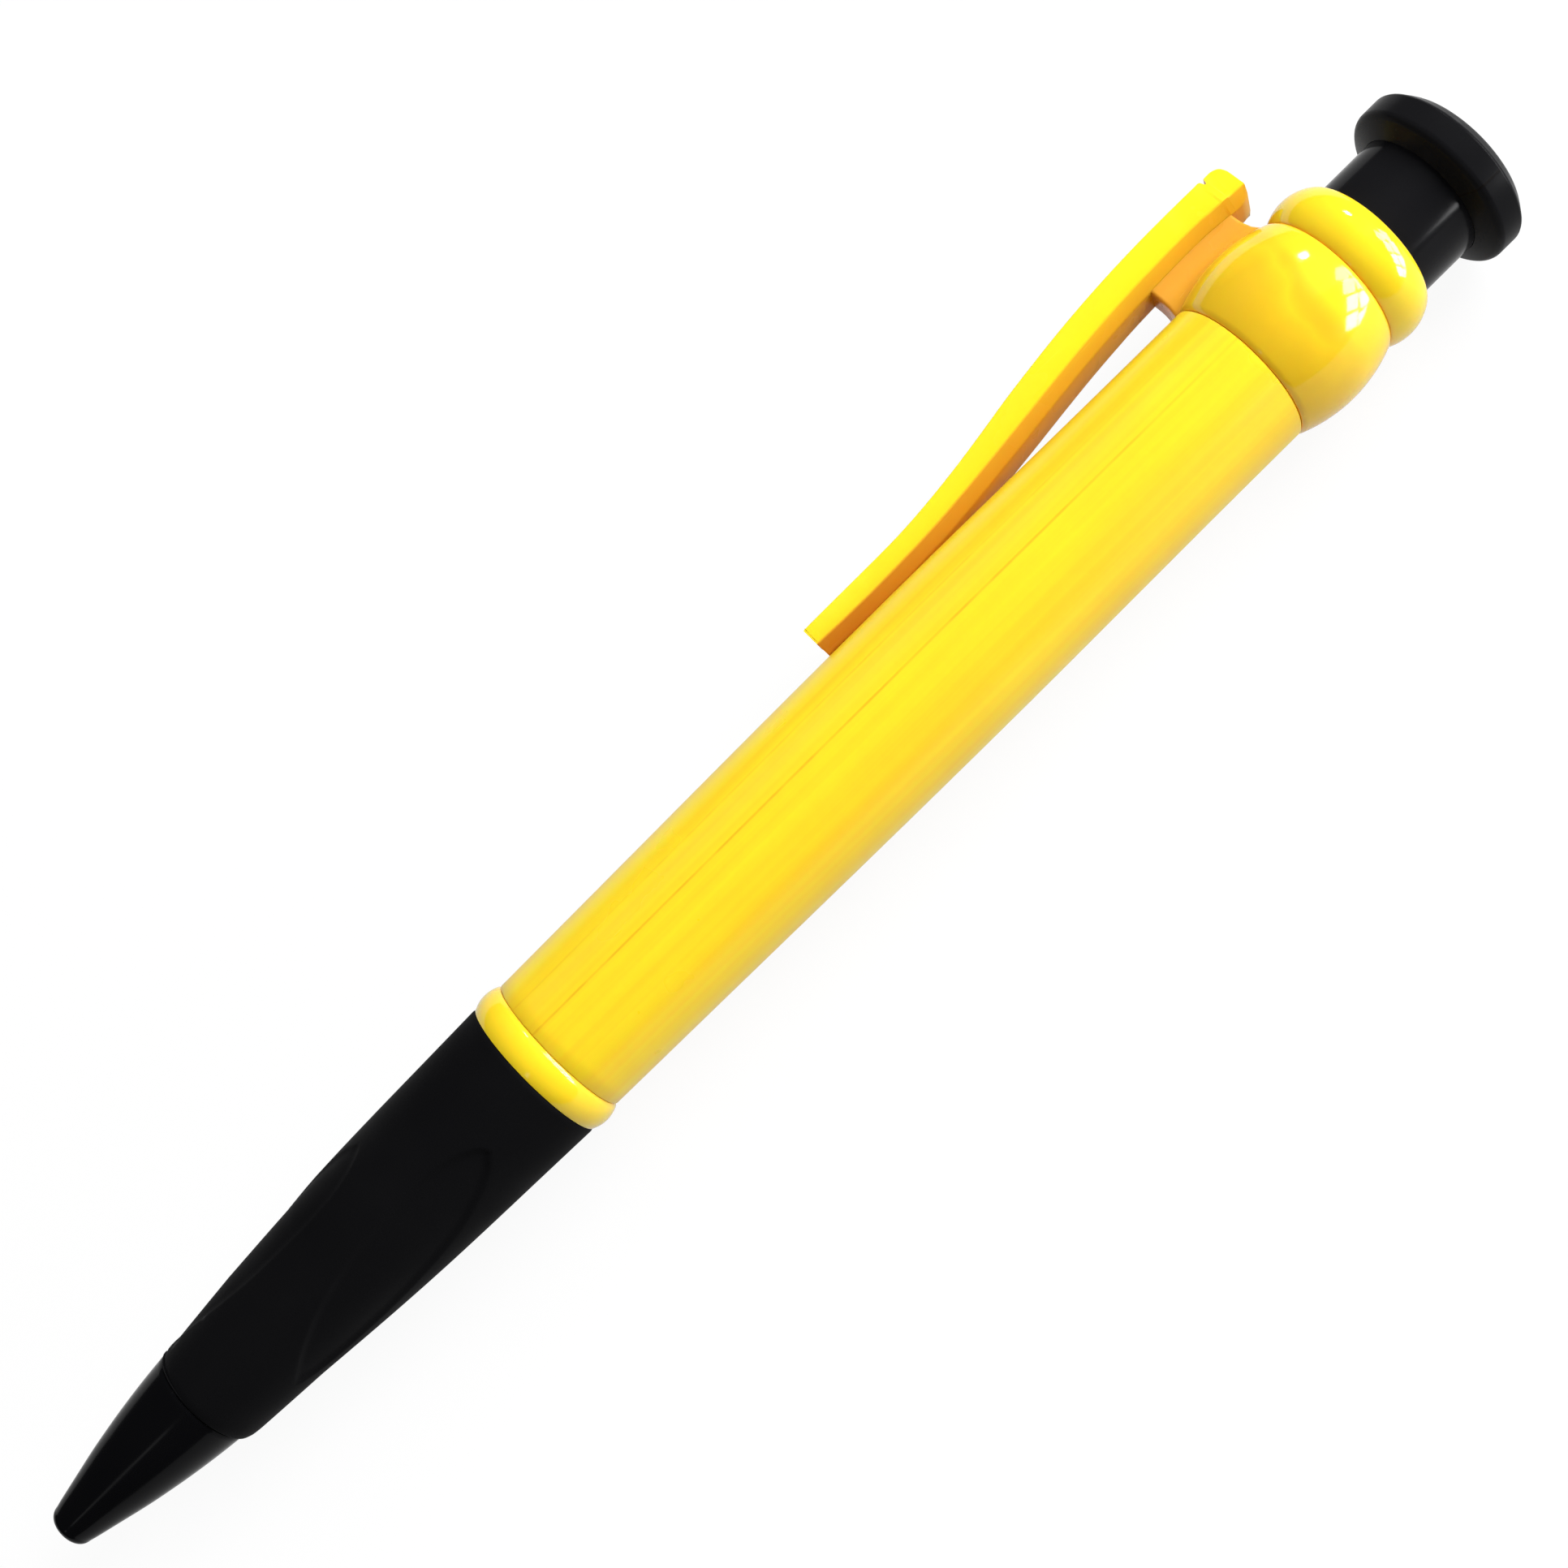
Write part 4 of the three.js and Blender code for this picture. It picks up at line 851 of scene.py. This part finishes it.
# Lamps that light the surfaces and aren't seen in them: the way to them from the pen, along it,
# across it and towards the camera; their size along the pen and the other way; their power
SOFT_LAMPS = (("daylight", (1.25, 0.42, 1.0), (0.8, 0.8), 21.4),
              ("side light", (0.75, -0.95, 0.5), (0.5, 0.8), 12.0),
              ("back light", (0.1, 0.9, 0.4), (0.8, 0.5), 2.2),
              ("nose side fill", (-1.0, 0.3, 0.1), (0.3, 0.3), 3.0))
SOFT_DISTANCE = 1.2
# The window that the ball mirrors: its near and far sides, its way up, its rows, and the power of
# the panes in each column
WINDOW_NEAR, WINDOW_FAR = Vector((0.98, 0.04, 0.44)), Vector((0.61, -0.74, 0.33))
WINDOW_UP = Vector((-0.47, 0.18, 0.83))
WINDOW_ROWS, WINDOW_POWERS = (-0.11, 0.11), (1.65, 2.1, 2.85, 3.0)


def camera():
    """The camera that took the photograph."""
    right = ALONG * math.cos(ROLL) - ACROSS * math.sin(ROLL)
    up = ALONG * math.sin(ROLL) + ACROSS * math.cos(ROLL)
    data = bpy.data.cameras.new("camera")
    data.lens = SENSOR * FOCUS / WIDTH
    data.sensor_width = SENSOR
    eye = bpy.data.objects.new("camera", data)
    place = Matrix((right, up, TOWARDS)).transposed().to_4x4()
    place.translation = AIM + TOWARDS * DISTANCE * MM
    eye.matrix_world = place
    data.clip_start = 0.005
    bpy.context.scene.collection.objects.link(eye)
    bpy.context.scene.camera = eye


def lamp(name, way, distance, size, power, mirrored=True, lean=0.0):
    """A rectangular lamp aimed at the middle of the pen: its size is along the pen, then across.

    The lean turns it about the line to the pen, in degrees. A mirrored one is seen in glossy
    surfaces only, and any other one lights the surfaces and isn't seen in them."""
    data = bpy.data.lights.new(name, "AREA")
    data.shape = "RECTANGLE"
    data.size, data.size_y = size
    data.energy = power
    away = (ALONG * way[0] + ACROSS * way[1] + TOWARDS * way[2]).normalized()
    light = bpy.data.objects.new(name, data)
    wide = (ALONG - away * ALONG.dot(away)).normalized()
    place = Matrix((wide, away.cross(wide), away)).transposed().to_4x4()
    place = place @ Matrix.Rotation(math.radians(lean), 4, "Z")
    place.translation = AIM + away * distance
    light.matrix_world = place
    light.visible_glossy = mirrored
    light.visible_diffuse = not mirrored
    bpy.context.scene.collection.objects.link(light)


def lamps():
    """The lamps that light the pen, and those that its glossy parts mirror."""
    for name, way, size, power in SOFT_LAMPS:
        lamp(name, way, SOFT_DISTANCE, size, power, mirrored=False)
    for column, power in enumerate(WINDOW_POWERS):
        for row in WINDOW_ROWS:
            way = WINDOW_NEAR.lerp(WINDOW_FAR, (column + 0.4) / len(WINDOW_POWERS)) + WINDOW_UP * row
            lamp(f"window pane {column} {row}", way, 1.05, (0.2, 0.205), power, lean=45)
    lamp("small window", (0.74, 0.56, 0.38), 1.0, (0.09, 0.13), 1.7)
    lamp("tube lamp", (-1.02, 0.02, 0.9), 1.37, (0.4, 0.1), 0.22)


def white_paper():
    """Paper that throws little light back onto the pen and is white to the camera."""
    paper, tree, shader, place = blank_material("white paper")
    seen = tree.nodes.new("ShaderNodeLightPath").outputs
    fibres = mixed(tree, noise(tree, place, 40.0, 4.0), (0.40, 0.40, 0.40), (0.37, 0.37, 0.37))
    base = mixed(tree, seen["Is Camera Ray"], fibres, (0.95, 0.95, 0.95))
    tree.links.new(base, shader.inputs["Base Color"])
    shader.inputs["Roughness"].default_value = 0.9
    distance = tree.nodes.new("ShaderNodeVectorMath")
    distance.operation = "LENGTH"
    tree.links.new(place, distance.inputs[0])
    glow = spread(tree, distance.outputs["Value"], *PAPER_FADE, PAPER_NEAR, PAPER_FAR)
    mirrored = sums(tree, "MAXIMUM", seen["Is Glossy Ray"], seen["Is Transmission Ray"])
    share = sums(tree, "MAXIMUM", product(tree, seen["Is Camera Ray"], glow),
                 product(tree, mirrored, PAPER_MIRRORED))
    light = tree.nodes.new("ShaderNodeEmission")
    both = tree.nodes.new("ShaderNodeMixShader")
    tree.links.new(share, both.inputs[0])
    tree.links.new(shader.outputs[0], both.inputs[1])
    tree.links.new(light.outputs[0], both.inputs[2])
    tree.links.new(both.outputs[0], tree.nodes["Material Output"].inputs["Surface"])
    return paper


def white_room():
    """A world that is white to the camera and dim in every other ray."""
    world = bpy.data.worlds.new("studio")
    bpy.context.scene.world = world
    world.use_nodes = True
    tree = world.node_tree
    tree.nodes.clear()
    out = tree.nodes.new("ShaderNodeOutputWorld")
    fill = tree.nodes.new("ShaderNodeBackground")
    white = tree.nodes.new("ShaderNodeBackground")
    for node in (fill, white):
        node.inputs["Color"].default_value = (1, 1, 1, 1)
        node.inputs["Strength"].default_value = 1.0
    seen = tree.nodes.new("ShaderNodeLightPath").outputs
    strength = sums(tree, "ADD", product(tree, seen["Is Diffuse Ray"], ROOM_MATT), ROOM)
    tree.links.new(strength, fill.inputs["Strength"])
    either = tree.nodes.new("ShaderNodeMixShader")
    tree.links.new(seen["Is Camera Ray"], either.inputs[0])
    tree.links.new(fill.outputs[0], either.inputs[1])
    tree.links.new(white.outputs[0], either.inputs[2])
    tree.links.new(either.outputs[0], out.inputs["Surface"])


def studio():
    """White paper in a white room, and the lamps."""
    bpy.ops.mesh.primitive_plane_add(size=6.0, location=(0, 0, 0))
    floor = bpy.context.object
    floor.name = "floor"
    floor.data.materials.append(white_paper())
    white_room()
    lamps()
    bpy.context.scene.view_settings.view_transform = "Standard"


camera()
studio()
